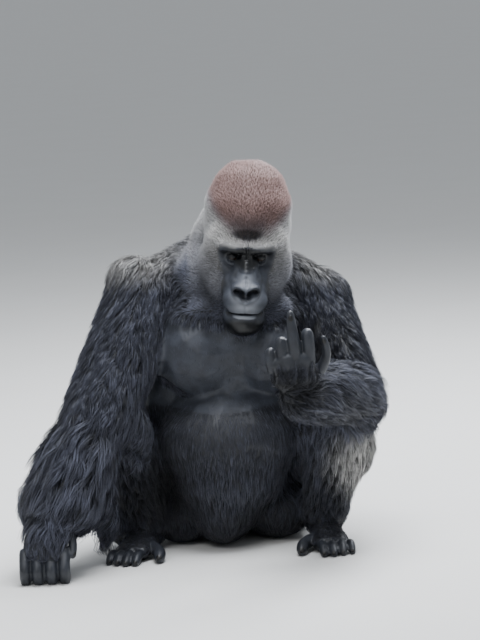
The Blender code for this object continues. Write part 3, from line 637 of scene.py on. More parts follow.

# %% Markings of the body, with painted highlight and painted shade
# Silver places: the saddle, the left knee, the right thigh, the neck sides, and the shoulder tops, where
# grey-tipped hair gets a painted highlight. Black places: the black hair of the raised hand, and painted
# shade in the hollow behind it, under the forearm, on the thighs' inner sides, in the fork, on the shanks
# and under the jaw. Each has its centre, its radii and how strong it is, and for silver how soft its edge
# is.
SILVER_AND_PAINTED_HIGHLIGHT = [
    (at(-0.04, 0.30, 0.38), (0.34, 0.30, 0.36), 1.0, 0.6),
    (at(0.30, -0.10, 0.235), (0.13, 0.20, 0.13), 1.0, 0.6),
    (at(-0.40, 0.05, 0.22), (0.12, 0.20, 0.15), 0.7, 0.8),
]
# The shoulder tops: grey-tipped hair, with a painted highlight where light falls from above.
for side, sign, wide in (("R", -1, 0.18), ("L", 1, 0.14)):
    SILVER_AND_PAINTED_HIGHLIGHT += [(SHOULDER[side] + Vector((0, 0.02, 0.13)), (wide, wide, 0.6 * wide), 0.95, 0.8),
               (on_head(sign * 0.10, -0.06, -0.03), (0.07, 0.13, 0.13), 0.9, 0.7)]
# Black hair of the raised hand, and painted shade in hollows and under sides.
BLACK_AND_PAINTED_SHADE = [
    ((WRIST["L"] + KNUCKLES["L"]) / 2, (0.11, 0.11, 0.085), 0.80),
    (at(0.19, -0.12, 0.53), (0.14, 0.26, 0.15), 0.80),
    (at(0.23, -0.36, 0.39), (0.18, 0.18, 0.12), 0.62),
    (at(-0.24, -0.04, 0.17), (0.18, 0.28, 0.19), 0.92),
    (at(0.03, -0.15, 0.07), (0.28, 0.30, 0.11), 0.62),
    (at(0.19, -0.15, 0.12), (0.11, 0.14, 0.14), 0.60),
    (on_head(-0.075, 0.04, -0.13), (0.07, 0.10, 0.08), 0.66),
    (on_head(0.075, 0.04, -0.13), (0.06, 0.10, 0.07), 0.56),
]


def markings_and_painted_light(points):
    """Shares of silver, of red and of black at each point, with a painted highlight in the silver and
    painted shade in the black.
    """
    across, forward, up = head_frame(points)
    silver, black_and_painted_shade = np.zeros(len(points)), np.zeros(len(points))
    for centre, radii, weight, edge in SILVER_AND_PAINTED_HIGHLIGHT:
        silver = np.maximum(silver, weight * ball(points, centre, radii, edge))
    for centre, radii, weight in BLACK_AND_PAINTED_SHADE:
        black_and_painted_shade = np.maximum(black_and_painted_shade, weight * ball(points, centre, radii, 0.7))
    near_head = ramp(forward, -0.16, -0.10) * ramp(up, -0.21, -0.17)
    near_head *= 1 - ramp(np.abs(across), 0.13, 0.15)
    # The third share is the black patch with the painted shade of the crown.
    head_silver, crown, patch = head_markings_and_painted_shade(points)
    silver = silver * (1 - near_head) + head_silver * near_head
    return silver, crown * near_head, np.maximum(black_and_painted_shade, patch * near_head)


silver, red, black_and_painted_shade = markings_and_painted_light(skin_points)
for label, values in (("silver", silver), ("red", red), ("black_and_painted_shade", black_and_painted_shade)):
    print(label, "points:", int((values > 0.5).sum()))

# %% [markdown]
# ## Thin the skin
# The skin needs fine faces only where it is bare. Under the coat most of its faces can go, so
# the Decimate modifier is steered by a vertex group. The values that the materials and the
# carving need are kept as attributes, which live through the change.

# %% Thin the hidden skin, and keep it fine where it is bare
SKIN_FACES = 140_000


def tagged(mesh, label, values):
    """Keeps one number per point through a change of the mesh."""
    layer = mesh.attributes.new(label, "FLOAT", "POINT")
    layer.data.foreach_set("value", np.asarray(values, np.float32))


LIMB_NODES = [name for name in BODY_NODES if name.startswith(("hand", "foot", "ear"))]
# The silver share carries the painted highlight on the shoulder tops too.
tagged(skin, "silver", silver)
tagged(skin, "red", red)
tagged(skin, "bare", bare)
tagged(skin, "limb", soften(named(owner, *LIMB_NODES) * 1.0, skin_edges, 4))
thin_thing = linked("thin", skin.copy())
group = thin_thing.vertex_groups.new(name="coarse")
levels = np.round((1 - 0.9 * ramp(bare, 0.1, 0.6)) * 4).astype(int)
for level in range(5):
    group.add(np.nonzero(levels == level)[0].tolist(), level / 4, "REPLACE")
thin = thin_thing.modifiers.new("thin", "DECIMATE")
thin.ratio = SKIN_FACES / (2.0 * len(skin.polygons))
thin.vertex_group = "coarse"
thin.vertex_group_factor = 0.3
body = applied(thin_thing)
print("thinned skin:", len(body.polygons), "faces")

# %% [markdown]
# ## Draw the lines of the face
# The parting of the lips, the nostrils, the lids and the frown are lines drawn in the face's own
# plane. A crease of a millimetre can't show in faces three times as wide, so the faces near
# these lines are split twice.

# %% Split the faces near the fine lines
def near_line(across, up, line):
    """Distance in the face's own plane from each point to a line of (across, up) points."""
    best = np.full(len(across), 1.0)
    for (x0, u0), (x1, u1) in zip(line, line[1:]):
        dx, du = x1 - x0, u1 - u0
        t = np.clip(((across - x0) * dx + (up - u0) * du) / (dx * dx + du * du), 0, 1)
        best = np.minimum(best, np.hypot(across - x0 - t * dx, up - u0 - t * du))
    return best


def mirrored(line):
    return [(-x, u) for x, u in line]


MOUTH = [(-0.044, -0.1255), (-0.030, -0.1185), (-0.010, -0.1130), (0.008, -0.1125), (0.027, -0.1175),
         (0.045, -0.1250)]
NOSTRIL = [(0.0055, -0.0650), (0.0110, -0.0575), (0.0180, -0.0545), (0.0250, -0.0535)]
LIDS = [(0.0215, 0.0000), (0.0300, 0.0035), (0.0400, 0.0040), (0.0490, 0.0005)]
FINE_LINES = [MOUTH, NOSTRIL, mirrored(NOSTRIL), LIDS, mirrored(LIDS), [(0, 0.045), (0, 0.015)]]


def split_faces(mesh, wanted):
    """Cuts every edge whose two ends are wanted."""
    form = bmesh.new()
    form.from_mesh(mesh)
    edges = [e for e in form.edges if wanted[e.verts[0].index] and wanted[e.verts[1].index]]
    bmesh.ops.subdivide_edges(form, edges=edges, cuts=1, use_grid_fill=True)
    form.to_mesh(mesh)
    form.free()


FACE_LOW, FACE_HIGH = -0.22, 0.09


def on_face(points, reach=1.0):
    """Points on the front of the face within reach of a fine line."""
    across, forward, up = head_frame(points)
    near = np.min([near_line(across, up, line) for line in FINE_LINES], axis=0)
    return (forward > 0.07) & (near < reach) & (up > FACE_LOW) & (up < FACE_HIGH)


for reach in (0.012, 0.0050):
    split_faces(body, on_face(points_of(body), reach))
print("skin with a fine face:", len(body.vertices), "points")

# %% [markdown]
# ## Carve the face
# Folds are made by pushing points in or out near a line drawn on the face. `fold` does one such
# line: a positive depth makes a crease, and a negative one a ridge. The folds come in the order
# of a sculptor's work: lips, nose, frown and cheeks, and the lids last.

# %% Fold the skin along a line
def pressed(points, normals, amount, backward=0.0):
    """Moves points in by an amount, along their normals or straight back into the head."""
    back = np.array(HEAD_TURN @ Vector((0, 1, 0)))
    way = -normals * (1 - backward) + back * backward
    return points + way * amount[:, None]


def fold(points, normals, line, width, depth, backward=0.0):
    """A crease along a line drawn on the face; a negative depth raises a ridge."""
    across, forward, up = head_frame(points)
    ahead = ramp(forward, 0.06, 0.08) * (up > FACE_LOW) * (up < FACE_HIGH)
    amount = depth * np.exp(-(near_line(across, up, line) / width) ** 2) * ahead
    return pressed(points, normals, amount, backward)


p = points_of(body)
n = normals_of(body)
on_front = on_face(p)
print("skin to carve:", len(p), "points")

# %% Press the lips, the nose and the folds round them
# Lips: the upper lip rolls over an arched parting, and the lower lip stands out under it.
p = fold(p, n, [(x, u - 0.0095) for x, u in MOUTH[1:-1]], 0.0055, -0.0034)
p = fold(p, n, [(x, u + 0.0085) for x, u in MOUTH], 0.0055, -0.0020)
p = fold(p, n, MOUTH, 0.0030, 0.0105, 1.0)
# Groove from the nose to the lip, and the heart-shaped rim that ends in it.
p = fold(p, n, [(0.000, -0.066), (0.000, -0.106)], 0.0022, 0.0020)
RIM = [(0.041, -0.046), (0.040, -0.059), (0.029, -0.073), (0.013, -0.082), (0.000, -0.087)]
for line in (RIM, mirrored(RIM)):
    p = fold(p, n, line, 0.0042, 0.0017)
    p = fold(p, n, [(x * 0.78, u + 0.007) for x, u in line], 0.0060, -0.0030)
# Nostrils open forwards in a pair of wide commas, under rolled rims.
for line in (NOSTRIL, mirrored(NOSTRIL)):
    p = fold(p, n, [(x, u + 0.0135) for x, u in line[1:]], 0.0045, -0.0024)
    p = fold(p, n, line[1:], 0.0092, 0.0150, 1.0)
    p = fold(p, n, line, 0.0050, 0.0060, 1.0)
# Notch and cross folds over the tip of the nose.
p = fold(p, n, [(0.000, -0.022), (0.001, -0.036)], 0.0030, 0.0042)
p = fold(p, n, [(-0.008, -0.0265), (0.000, -0.0225), (0.008, -0.0265)], 0.0020, 0.0014)
for height, width in ((-0.014, 0.014), (-0.006, 0.011), (0.002, 0.009), (0.009, 0.008)):
    p = fold(p, n, [(-width, height - 0.002), (0, height), (width, height - 0.002)], 0.0014, 0.0006)
# Frown lines between the brows.
for x, top, low, depth in ((-0.0100, 0.042, 0.014, 0.0030), (-0.0030, 0.046, 0.014, 0.0034),
                           (0.0045, 0.045, 0.015, 0.0030), (0.0115, 0.041, 0.018, 0.0022),
                           (-0.0175, 0.039, 0.020, 0.0018)):
    p = fold(p, n, [(x, top), (x * 0.75, low)], 0.0017, depth)
# Soft folds beside the bridge, and bags under the eyes.
CHEEK = [(0.020, -0.012), (0.033, -0.030), (0.045, -0.046)]
BAG = [(0.018, -0.010), (0.030, -0.0155), (0.044, -0.015), (0.056, -0.008)]
for line in (CHEEK, mirrored(CHEEK)):
    p = fold(p, n, line, 0.0040, 0.0018)
for line in (BAG, mirrored(BAG)):
    p = fold(p, n, line, 0.0018, 0.0014)
    p = fold(p, n, [(x, u - 0.006) for x, u in line], 0.0016, 0.0009)
# Fine upright lines over the upper lip.
for x in np.linspace(-0.040, 0.040, 13):
    p = fold(p, n, [(x, -0.098), (x * 1.05, -0.108)], 0.0009, 0.0006)
print("deepest fold:", round(float(np.linalg.norm(p - points_of(body), axis=1).max()) * 1000, 1), "mm")

# %% Lay the lids on the eyeballs, and open them in a narrow almond
# Half length and half height of the almond, how soft its edge is, and how deep it is pressed.
ALMOND_HALF, ALMOND_HIGH, LID_EDGE, ALMOND_DEEP = 0.0120, 0.0026, 0.0006, 0.0075
for sign in (-1, 1):
    ball_at = np.array(on_head(sign * EYE_SPREAD, EYE_AHEAD, EYE_UP))
    across, forward, up = head_frame(p)
    x, u = across - sign * EYE_SPREAD, up - EYE_UP
    reach = np.hypot(x, u)
    on_ball = (1 - ramp(reach, 0.0120, 0.0170)) * on_front
    away = unit(p - ball_at)
    target = ball_at + away * (EYE_RADIUS + LID)
    p = p + (target - p) * (on_ball * (forward > EYE_AHEAD - 0.004))[:, None]
    arch = ALMOND_HIGH * np.sqrt(np.clip(1 - (x / ALMOND_HALF) ** 2, 0, 1))
    opening = ramp(arch - u, -LID_EDGE, LID_EDGE) * ramp(u + arch, -LID_EDGE, LID_EDGE)
    opening = opening * (np.abs(x) < 0.0122) * on_front
    p = pressed(p, n, opening * ALMOND_DEEP, 1.0)
p[:, 2] = np.maximum(p[:, 2], 0)
set_points(body, p)
print("lids open by", ALMOND_HIGH * 2000, "mm")

# %% [markdown]
# ## Ears
# Each ear is a small disc with a rolled rim round a hollow. Both are pressed into the disc that
# the solid gives.

# %% Press a hollow and a rim into each ear
n = normals_of(body)
for sign, name in ((-1, "ear_R"), (1, "ear_L")):
    local = (p - np.array(middle(name))) @ np.array(HEAD_TURN)
    reach = np.hypot(local[:, 1] / 0.0135, local[:, 2] / 0.0205)
    outside = sign * local[:, 0] > -0.004
    close = (np.abs(local[:, 0]) < 0.016) & outside & (reach < 1.2)
    hollow = (1 - ramp(reach, 0.35, 0.75)) * close
    rim = np.exp(-((reach - 0.88) / 0.16) ** 2) * close
    p = p - n * (hollow * 0.0050 - rim * 0.0012)[:, None]
set_points(body, p)
body.shade_smooth()
print("skin:", len(triangles_of(body)), "triangles")

# %% [markdown]
# ## The leathery skin
# Bare gorilla skin is thick, dark and leathery: slate grey where light catches it, nearly black round the
# eyes and on the chin. Its tone also paints highlights on the brow, muzzle and lower lip, and shade under
# the brow, in the mouth and nostrils and under the chin. Fine cells and pores break its shine. Under the
# coat it carries the same markings as the hair, so that no pale gap shows between the tufts.

# %% Tone of the bare skin, darker or paler than its middle grey, with painted highlight and shade
limb = read(body.attributes["limb"].data, "value", 1, np.float32)[:, 0]
across, forward, up = head_frame(p)
front_share = ramp(forward, 0.04, 0.07) * (up > FACE_LOW) * (up < FACE_HIGH)
tone_and_painted_light = -0.52 * ramp(limb, 0.2, 0.8)
# Ovals of the face: centre, half sizes, and how much they change the tone. In order: a painted highlight on
# top of the brow; dark skin with painted shade under the brow round the eyes; darker cheeks; a paler
# bridge; a paler muzzle and upper lip with a painted highlight; a dark chin with painted shade under it;
# and a painted wet highlight along the lower lip.
FACE_TONES_AND_PAINTED_LIGHT = [
    ((0.000, 0.046), (0.082, 0.010), 0.35), ((0.0, 0.017), (0.095, 0.038), -1.15),
    ((0.050, -0.032), (0.030, 0.034), -0.10), ((-0.050, -0.032), (0.030, 0.034), -0.10),
    ((0.0, -0.030), (0.030, 0.024), 0.40), ((0.0, -0.070), (0.050, 0.034), 0.45),
    ((0.0, -0.100), (0.060, 0.024), 0.50),
    ((0.0, -0.160), (0.085, 0.040), -1.30), ((0.0, -0.1220), (0.042, 0.0058), 1.30),
]
for (x, u), (wide, high), change in FACE_TONES_AND_PAINTED_LIGHT:
    reach = np.hypot((across - x) / wide, (up - u) / high)
    tone_and_painted_light += change * (1 - ramp(reach, 0.4, 1.0)) * front_share
# Painted shade in the parting of the lips and in the nostrils.
painted_shade_in_mouth_and_nostrils = np.exp(-(near_line(across, up, MOUTH) / 0.0030) ** 2) * front_share
for line in (NOSTRIL, mirrored(NOSTRIL)):
    painted_shade_in_nostril = np.exp(-(near_line(across, up, line) / 0.0085) ** 2) * front_share
    painted_shade_in_mouth_and_nostrils = np.maximum(painted_shade_in_mouth_and_nostrils, painted_shade_in_nostril)
tone_and_painted_light -= 1.2 * painted_shade_in_mouth_and_nostrils
tagged(body, "tone_and_painted_light", np.clip(tone_and_painted_light, -1, 1))
print("darkest tone", round(float(tone_and_painted_light.min()), 2), "and palest", round(float(tone_and_painted_light.max()), 2))

# %% Leathery skin: rough, faintly oily, and darker where it is smooth, with painted highlight and shade from its tone
# Real cells are about a millimetre wide. They are drawn coarser, so that they show.
CELL_MM, PORE_MM, MOTTLE_MM = 2.6, 1.1, 28.57
hide, tree = new_material("leathery_skin")
coords = node(tree, "TexCoord").outputs["Object"]
marks_and_painted_light = {label: node(tree, "Attribute", attribute_name=label).outputs["Fac"]
         for label in ("silver", "red", "bare", "tone_and_painted_light")}
mottle = node(tree, "TexNoise", {"Vector": coords, "Scale": 1000 / MOTTLE_MM, "Detail": 4.0}).outputs["Fac"]
patches = node(tree, "MapRange", {"Value": mottle, "From Min": 0.35, "From Max": 0.65}).outputs[0]
# The tone carries painted shade round the eyes, in the mouth and nostrils and under the chin, and painted
# highlights on the brow, muzzle and lower lip.
darker_with_painted_shade = node(tree, "MapRange", {"Value": marks_and_painted_light["tone_and_painted_light"], "From Min": 0.0, "From Max": -1.0}).outputs[0]
paler_with_painted_highlight = node(tree, "MapRange", {"Value": marks_and_painted_light["tone_and_painted_light"], "From Min": 0.0, "From Max": 1.0}).outputs[0]
grey = linear("#2b2e35")
for share, code in ((patches, "#3a3e47"), (darker_with_painted_shade, "#060709"), (paler_with_painted_highlight, "#8a8e95")):
    grey = node(tree, "MixRGB", {"Fac": share, "Color1": grey, "Color2": linear(code)}).outputs[0]
under = linear("#121317")
for share, code in ((marks_and_painted_light["silver"], "#696866"), (marks_and_painted_light["red"], "#5c4840")):
    under = node(tree, "MixRGB", {"Fac": share, "Color1": under, "Color2": linear(code)}).outputs[0]
colour = node(tree, "MixRGB", {"Fac": marks_and_painted_light["bare"], "Color1": under, "Color2": grey}).outputs[0]
cells = node(tree, "TexVoronoi", {"Vector": coords, "Scale": 1000 / CELL_MM}, feature="DISTANCE_TO_EDGE")
edge = node(tree, "MapRange", {"Value": cells.outputs["Distance"], "From Max": 0.12}).outputs[0]
pores = node(tree, "TexNoise", {"Vector": coords, "Scale": 1000 / PORE_MM, "Detail": 2.0}).outputs["Fac"]
relief = node(tree, "Bump", {"Height": edge, "Strength": 0.16, "Distance": 0.0005}).outputs[0]
relief = node(tree, "Bump", {"Height": pores, "Strength": 0.30, "Distance": 0.0004,
                             "Normal": relief}).outputs[0]
shine = node(tree, "MapRange", {"Value": darker_with_painted_shade, "To Min": 0.54, "To Max": 0.36}).outputs[0]
shader = node(tree, "BsdfPrincipled", {"Base Color": colour, "Roughness": shine,
                                       "Normal": relief, "Specular IOR Level": 0.45})
node(tree, "OutputMaterial", {"Surface": shader.outputs[0]})
skin_piece = place("gorilla_skin", body, hide)
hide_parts(*FLESH)
print("skin in place of", len(FLESH), "nodes")

# %% [markdown]
# ## Nails
# Each nail is a small curved plate. It is laid onto its finger or toe from outside, so that it
# follows the tip, and then thickened. Bent fingers carry theirs on the hidden side.

# %% Places of the nails: a middle, the way it faces, the way the finger points, and its size
left, right = KNUCKLES["L"], KNUCKLES["R"]
to_knuckles = (KNUCKLES["R"] - WRIST["R"]).normalized()
NAILS = [
    (left + Vector((-0.0015, -0.008, 0.1095)), (0, -1, 0.10), (-0.03, 0, 1), (0.0120, 0.0150)),
    (left + Vector((0.0790, 0.018, 0.0440)), (-0.35, -1, 0), (-0.3, -0.2, 1), (0.0105, 0.0125)),
    (left + Vector((0.0360, 0.044, 0.0430)), (0, 1, 0.2), (0, 0.15, -1), (0.0130, 0.0130)),
    (left + Vector((-0.0245, 0.046, 0.0280)), (0, 1, 0.2), (0, 0.15, -1), (0.0130, 0.0130)),
    (left + Vector((-0.0505, 0.046, 0.0070)), (0, 1, 0.2), (0, 0.15, -1), (0.0115, 0.0115)),
    (WRIST["R"].lerp(right, 1.10) + Vector((0.074, 0.002, 0)), (0.75, -0.65, 0), to_knuckles,
     (0.012, 0.013)),
]
for offset in (0.0495, 0.0165, -0.0165, -0.0495):
    spot = Vector((right.x + offset, right.y + 0.020, 0.020))
    NAILS.append((spot, (0, 0.35, -1), (0, 1, 0.2), (0.0130, 0.0120)))
TOE_END = 0.014
for name in [n for n in FLESH if "toe" in n]:
    corners = points_of(NODES[name].data)
    tip = corners[corners[:, 1] < corners[:, 1].min() + TOE_END].mean(axis=0)
    wide = 0.0150 if name.startswith("big") else 0.0105
    NAILS.append((Vector(tip), (0, -0.45, 1), (0, -1, -0.3), (wide, 0.8 * wide)))
print("places for nails:", len(NAILS))

# %% Lay the nails on the skin
# How far a nail lies off the skin, how thick it is, from how far out it is cast and how far the
# cast reaches, and how deep a point that misses the skin is put.
NAIL_LIFT, NAIL_THICK, CAST_FROM, CAST_REACH, MISSED = 0.0006, 0.0009, 0.018, 0.04, 0.010


def nail(form, centre, facing, along, size):
    """A rounded plate cast onto the skin, against the way it faces."""
    facing = Vector(facing).normalized()
    along = Vector(along)
    along = (along - facing * along.dot(facing)).normalized()
    across = along.cross(facing)
    made = bmesh.ops.create_grid(form, x_segments=8, y_segments=8, size=1.0)
    for vertex in made["verts"]:
        x, u = vertex.co.x, vertex.co.y
        wide = x * math.sqrt(1 - 0.40 * u * u) * size[0] / 2
        long = u * math.sqrt(1 - 0.40 * x * x) * size[1] / 2
        start = centre + across * wide + along * long + facing * CAST_FROM
        hit = skin_tree.ray_cast(start, -facing, CAST_REACH)[0]
        vertex.co = (hit or start - facing * MISSED) + facing * NAIL_LIFT


skin_tree = BVHTree.FromPolygons(p.tolist(), triangles_of(body).tolist())
nail_form = bmesh.new()
for spot in NAILS:
    nail(nail_form, *spot)
bmesh.ops.recalc_face_normals(nail_form, faces=nail_form.faces)
bmesh.ops.solidify(nail_form, geom=nail_form.faces[:], thickness=NAIL_THICK)
nail_mesh = mesh_from(nail_form, "nails")
nail_mesh.shade_smooth()
print("nails:", len(nail_mesh.polygons), "faces")

# %% Horn: black-brown and half polished, with fine grooves
# Real grooves are finer. They are drawn about 1.3 mm apart, so that they show.
GROOVE_MM = 1.3
horn, tree = new_material("nail_horn")
coords = node(tree, "TexCoord").outputs["Object"]
grain = node(tree, "TexNoise", {"Vector": coords, "Scale": 1000 / GROOVE_MM, "Detail": 1.0}).outputs["Fac"]
colour = node(tree, "MixRGB", {"Fac": grain, "Color1": linear("#060606"), "Color2": linear("#141211")})
ridges = node(tree, "Bump", {"Height": grain, "Strength": 0.15, "Distance": 0.0003})
shader = node(tree, "BsdfPrincipled", {"Base Color": colour.outputs[0], "Roughness": 0.36,
                                       "Normal": ridges.outputs[0]})
node(tree, "OutputMaterial", {"Surface": shader.outputs[0]})
place("nails", nail_mesh, horn)
print("nails of horn in place")

# %% [markdown]
# ## Eyes
# A gorilla's eye is dark all over: a brown iris, and a brownish white that hardly shows. It is a
# ball with a bulging clear front, so the radius grows a little round the line of sight.

# %% Make both eyeballs
EYE_SEGMENTS, BULGE, CORNEA = 40, 0.0009, 0.60
eye_form = bmesh.new()
gaze = (HEAD_TURN @ Vector((0.02, -1.0, 0.10))).normalized()
turned_to_gaze = gaze.to_track_quat("Z", "Y").to_matrix().to_4x4()
for sign in (-1, 1):
    made = bmesh.ops.create_uvsphere(eye_form, u_segments=EYE_SEGMENTS, v_segments=EYE_SEGMENTS // 2,
                                     radius=EYE_RADIUS, matrix=turned_to_gaze)
    for vertex in made["verts"]:
        turn_from_gaze = vertex.co.angle(gaze)
        vertex.co *= 1 + BULGE / EYE_RADIUS * math.exp(-(turn_from_gaze / CORNEA) ** 2)
    bmesh.ops.translate(eye_form, vec=on_head(sign * EYE_SPREAD, EYE_AHEAD, EYE_UP), verts=made["verts"])
eye_mesh = mesh_from(eye_form, "eyeballs")
eye_mesh.shade_smooth()
eye_points = points_of(eye_mesh)
half = len(eye_points) // 2
turned = []
for sign, part in ((-1, eye_points[:half]), (1, eye_points[half:])):
    rays = unit(part - np.array(on_head(sign * EYE_SPREAD, EYE_AHEAD, EYE_UP)))
    turned.append(np.arccos(np.clip(rays @ np.array(gaze), -1, 1)))
tagged(eye_mesh, "from_pupil", np.concatenate(turned))
print("eyeballs:", len(eye_mesh.polygons), "faces")

# %% Wet eye, coloured in rings round the line of sight
# Pupil, dark brown iris, black ring and brown-black white, under a clear wet layer.
wet_eye, tree = new_material("wet_eye")
turned_from = node(tree, "Attribute", attribute_name="from_pupil").outputs["Fac"]
rings = node(tree, "ValToRGB", {"Fac": turned_from})
stops = [(0.00, "#020202"), (0.20, "#020202"), (0.24, "#180d06"), (0.44, "#2c190b"), (0.50, "#0a0605"),
         (0.60, "#0f0c0b"), (1.00, "#171312")]
for position, code in stops[1:-1]:
    rings.color_ramp.elements.new(position).color = linear(code)
rings.color_ramp.elements[0].color = linear(stops[0][1])
rings.color_ramp.elements[-1].color = linear(stops[-1][1])
shader = node(tree, "BsdfPrincipled", {"Base Color": rings.outputs[0], "Roughness": 0.35,
                                       "Specular IOR Level": 0.2, "Coat Weight": 0.3,
                                       "Coat Roughness": 0.06})
node(tree, "OutputMaterial", {"Surface": shader.outputs[0]})
eyes = place("eyeballs", eye_mesh, wet_eye)
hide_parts(*EYE_NODES)
print("eyes in place")

# %% [markdown]
# ## Maps for the coat
# Every piece of coat needs a map, on which its colours can be baked. Laying out 46,000 loose
# tufts would take minutes. So we lay out a coarse copy of the skin under the piece, and later
# give each tuft a tiny patch of that map at the place of its root.

# %% A coarse skin for the maps
COARSE_CELL = 0.012
coarse_form = bmesh.new()
coarse_form.from_mesh(skin)
coarse = even(coarse_form, COARSE_CELL, "coarse")
coarse_owner = outer_owner[[nearest.find(q)[1] for q in points_of(coarse).tolist()]]
print("coarse skin:", len(coarse.polygons), "faces")


def unwrapped(names):
    """The coarse skin of some nodes, with a map laid out from its shape."""
    form = bmesh.new()
    form.from_mesh(coarse)
    keep = named(coarse_owner, *names)
    bmesh.ops.delete(form, geom=[v for v in form.verts if not keep[v.index]], context="VERTS")
    bmesh.ops.triangulate(form, faces=form.faces)
    mesh = mesh_from(form, "map")
    thing = linked("map", mesh)
    bpy.context.view_layer.objects.active = thing
    bpy.ops.object.mode_set(mode="EDIT")
    bpy.ops.mesh.select_all(action="SELECT")
    bpy.ops.uv.smart_project(angle_limit=1.2, island_margin=0.004)
    bpy.ops.object.mode_set(mode="OBJECT")
    layout = read(mesh.uv_layers.active.data, "uv", 2, np.float32)
    layout = np.hstack([layout, np.zeros((len(layout), 1))]).reshape(-1, 3, 3)
    points, corners = points_of(mesh).tolist(), triangles_of(mesh).tolist()
    bpy.data.objects.remove(thing)
    return points, corners, layout.tolist()


def map_places(roots, names):
    """Where each root lies on the map of its piece of skin."""
    points, corners, layout = unwrapped(names)
    tree = BVHTree.FromPolygons(points, corners)
    found = []
    for root in roots.tolist():
        spot, _, index, _ = tree.find_nearest(root)
        corner = [Vector(points[i]) for i in corners[index]]
        found.append(barycentric_transform(spot, *corner, *[Vector(v) for v in layout[index]])[:2])
    return np.array(found)


# %% [markdown]
# ## The coat
# Each tuft is a closed three-sided spike. It starts in the skin, bends along the lie of the coat
# and rises towards the depth of the hair. Neighbouring tufts lean together into locks. There are
# 165,000 of them, too many for one operator each, so the points of a whole piece are worked out
# at once, as arrays.

# %% How a piece of coat is combed
@dataclass
class Style:
    """The ways in which pieces of coat differ, beside what the chart says."""

    lock: int                # tufts in a lock
    pull: float              # how far the tufts of a lock lean together
    stray: float             # how far they stray, in radians
    contrast: float          # how far locks differ in brightness
    grain: float = 1.3       # how far single tufts differ in brightness
    joints: int = 2          # joints in a tuft
    lift: float = 1.0        # how high the tufts stand
    root_tone: float = 0.0   # how pale the roots are


velvet = Style(4, 0.10, 0.12, 0.02, grain=0.35, joints=1, root_tone=0.80)
flat = Style(6, 0.30, 0.14, 0.12, grain=1.0)
full = Style(10, 0.58, 0.26, 0.14, lift=1.15)
shaggy = Style(16, 0.70, 0.42, 0.17, joints=3, lift=1.35)
print("a shaggy lock holds", shaggy.lock, "tufts, and a velvet one", velvet.lock)

# %% Spread the roots, comb the tufts and lean them into locks
# How deep a root is sunk into the skin, in metres.
SUNK = 0.0010
skin_corners = triangles_of(skin)
a, b, c = (skin_points[skin_corners[:, i]] for i in range(3))
corner_areas = np.linalg.norm(np.cross(b - a, c - a), axis=1) / 2


def spread(draw, count, share):
    """Roots spread evenly over the skin, more thickly where the share is high."""
    chance = corner_areas * share[skin_corners].mean(axis=1)
    ladder = np.cumsum(chance)
    steps = (np.arange(count) + draw.random(count)) / count * ladder[-1]
    picked = skin_corners[np.minimum(np.searchsorted(ladder, steps), len(ladder) - 1)]
    return picked, draw.dirichlet((1, 1, 1), count)


def comb(draw, root, normal, way, row, lock, style):
    """Spines of the tufts: joints + 1 points each, laid along the skin."""
    count, joints = len(root), style.joints
    yaw = draw.normal(0, style.stray, lock.max() + 1)[lock] + draw.normal(0, 0.45 * style.stray, count)
    way = way * np.cos(yaw)[:, None] + np.cross(normal, way) * np.sin(yaw)[:, None]
    length = row[:, LENGTH] / 1000 * draw.uniform(0.65, 1.15, count)
    length *= draw.uniform(0.85, 1.15, lock.max() + 1)[lock]
    level = draw.uniform(0.40, 1.20, count) * row[:, DEPTH] / 1000 * style.lift
    level *= draw.uniform(1 - 1.3 * style.stray, 1 + style.stray, lock.max() + 1)[lock]
    hang = row[:, HANG:HANG + 1]
    step = (length / joints)[:, None]
    spine, normals = [root - normal * SUNK], [normal]
    place_now = root
    for k in range(1, joints + 1):
        ahead = place_now + way * step
        index = np.array([nearest.find(q)[1] for q in ahead.tolist()])
        skin_normal = inner_normals[index]
        gap = ((ahead - inner_points[index]) * skin_normal).sum(1, keepdims=True)
        place_now = ahead - skin_normal * gap
        risen = place_now + skin_normal * (level * (k / joints) ** 0.7)[:, None]
        falling = spine[-1] + unit(way + np.array(DOWN) * hang * 2) * step
        loose = hang * k / joints
        spine.append(risen * (1 - loose) + falling * loose)
        normals.append(skin_normal)
        way = 0.6 * way + 0.4 * outer_lie[index]
        way = unit(way - skin_normal * (way * skin_normal).sum(1, keepdims=True))
    return np.stack(spine, 1), np.stack(normals, 1)


def locked(spine, lock, style):
    """Leans the tufts of a lock together, most at their tips."""
    many = np.maximum(np.bincount(lock), 1)
    for k in range(1, style.joints + 1):
        for axis in range(3):
            mean = np.bincount(lock, spine[:, k, axis]) / many
            spine[:, k, axis] += style.pull * k / style.joints * (mean[lock] - spine[:, k, axis])
    return spine


print("skin that hair can grow on:", round(float(corner_areas.sum()), 2), "square metres")

# %% [markdown]
# ## From spines to meshes
# A spike has three corners at each joint and one tip. Its marks are silver (with a painted highlight on the
# shoulder tops), red, a random shade of its own darkened by black hair and painted shade, and how far along
# the tuft each point lies. The material below turns them into colours, so the coat needs no image.

# %% Build the spikes of a piece
def tuft_faces(joints):
    """Corners of the faces of one closed tuft: a base, sides and a tip."""
    faces = [(0, 2, 1)]
    for k in range(joints - 1):
        faces += [(3 * k + j, 3 * k + (j + 1) % 3, 3 * k + 3 + (j + 1) % 3, 3 * k + 3 + j)
                  for j in range(3)]
    last = 3 * (joints - 1)
    return faces + [(last + j, last + (j + 1) % 3, last + 3) for j in range(3)]


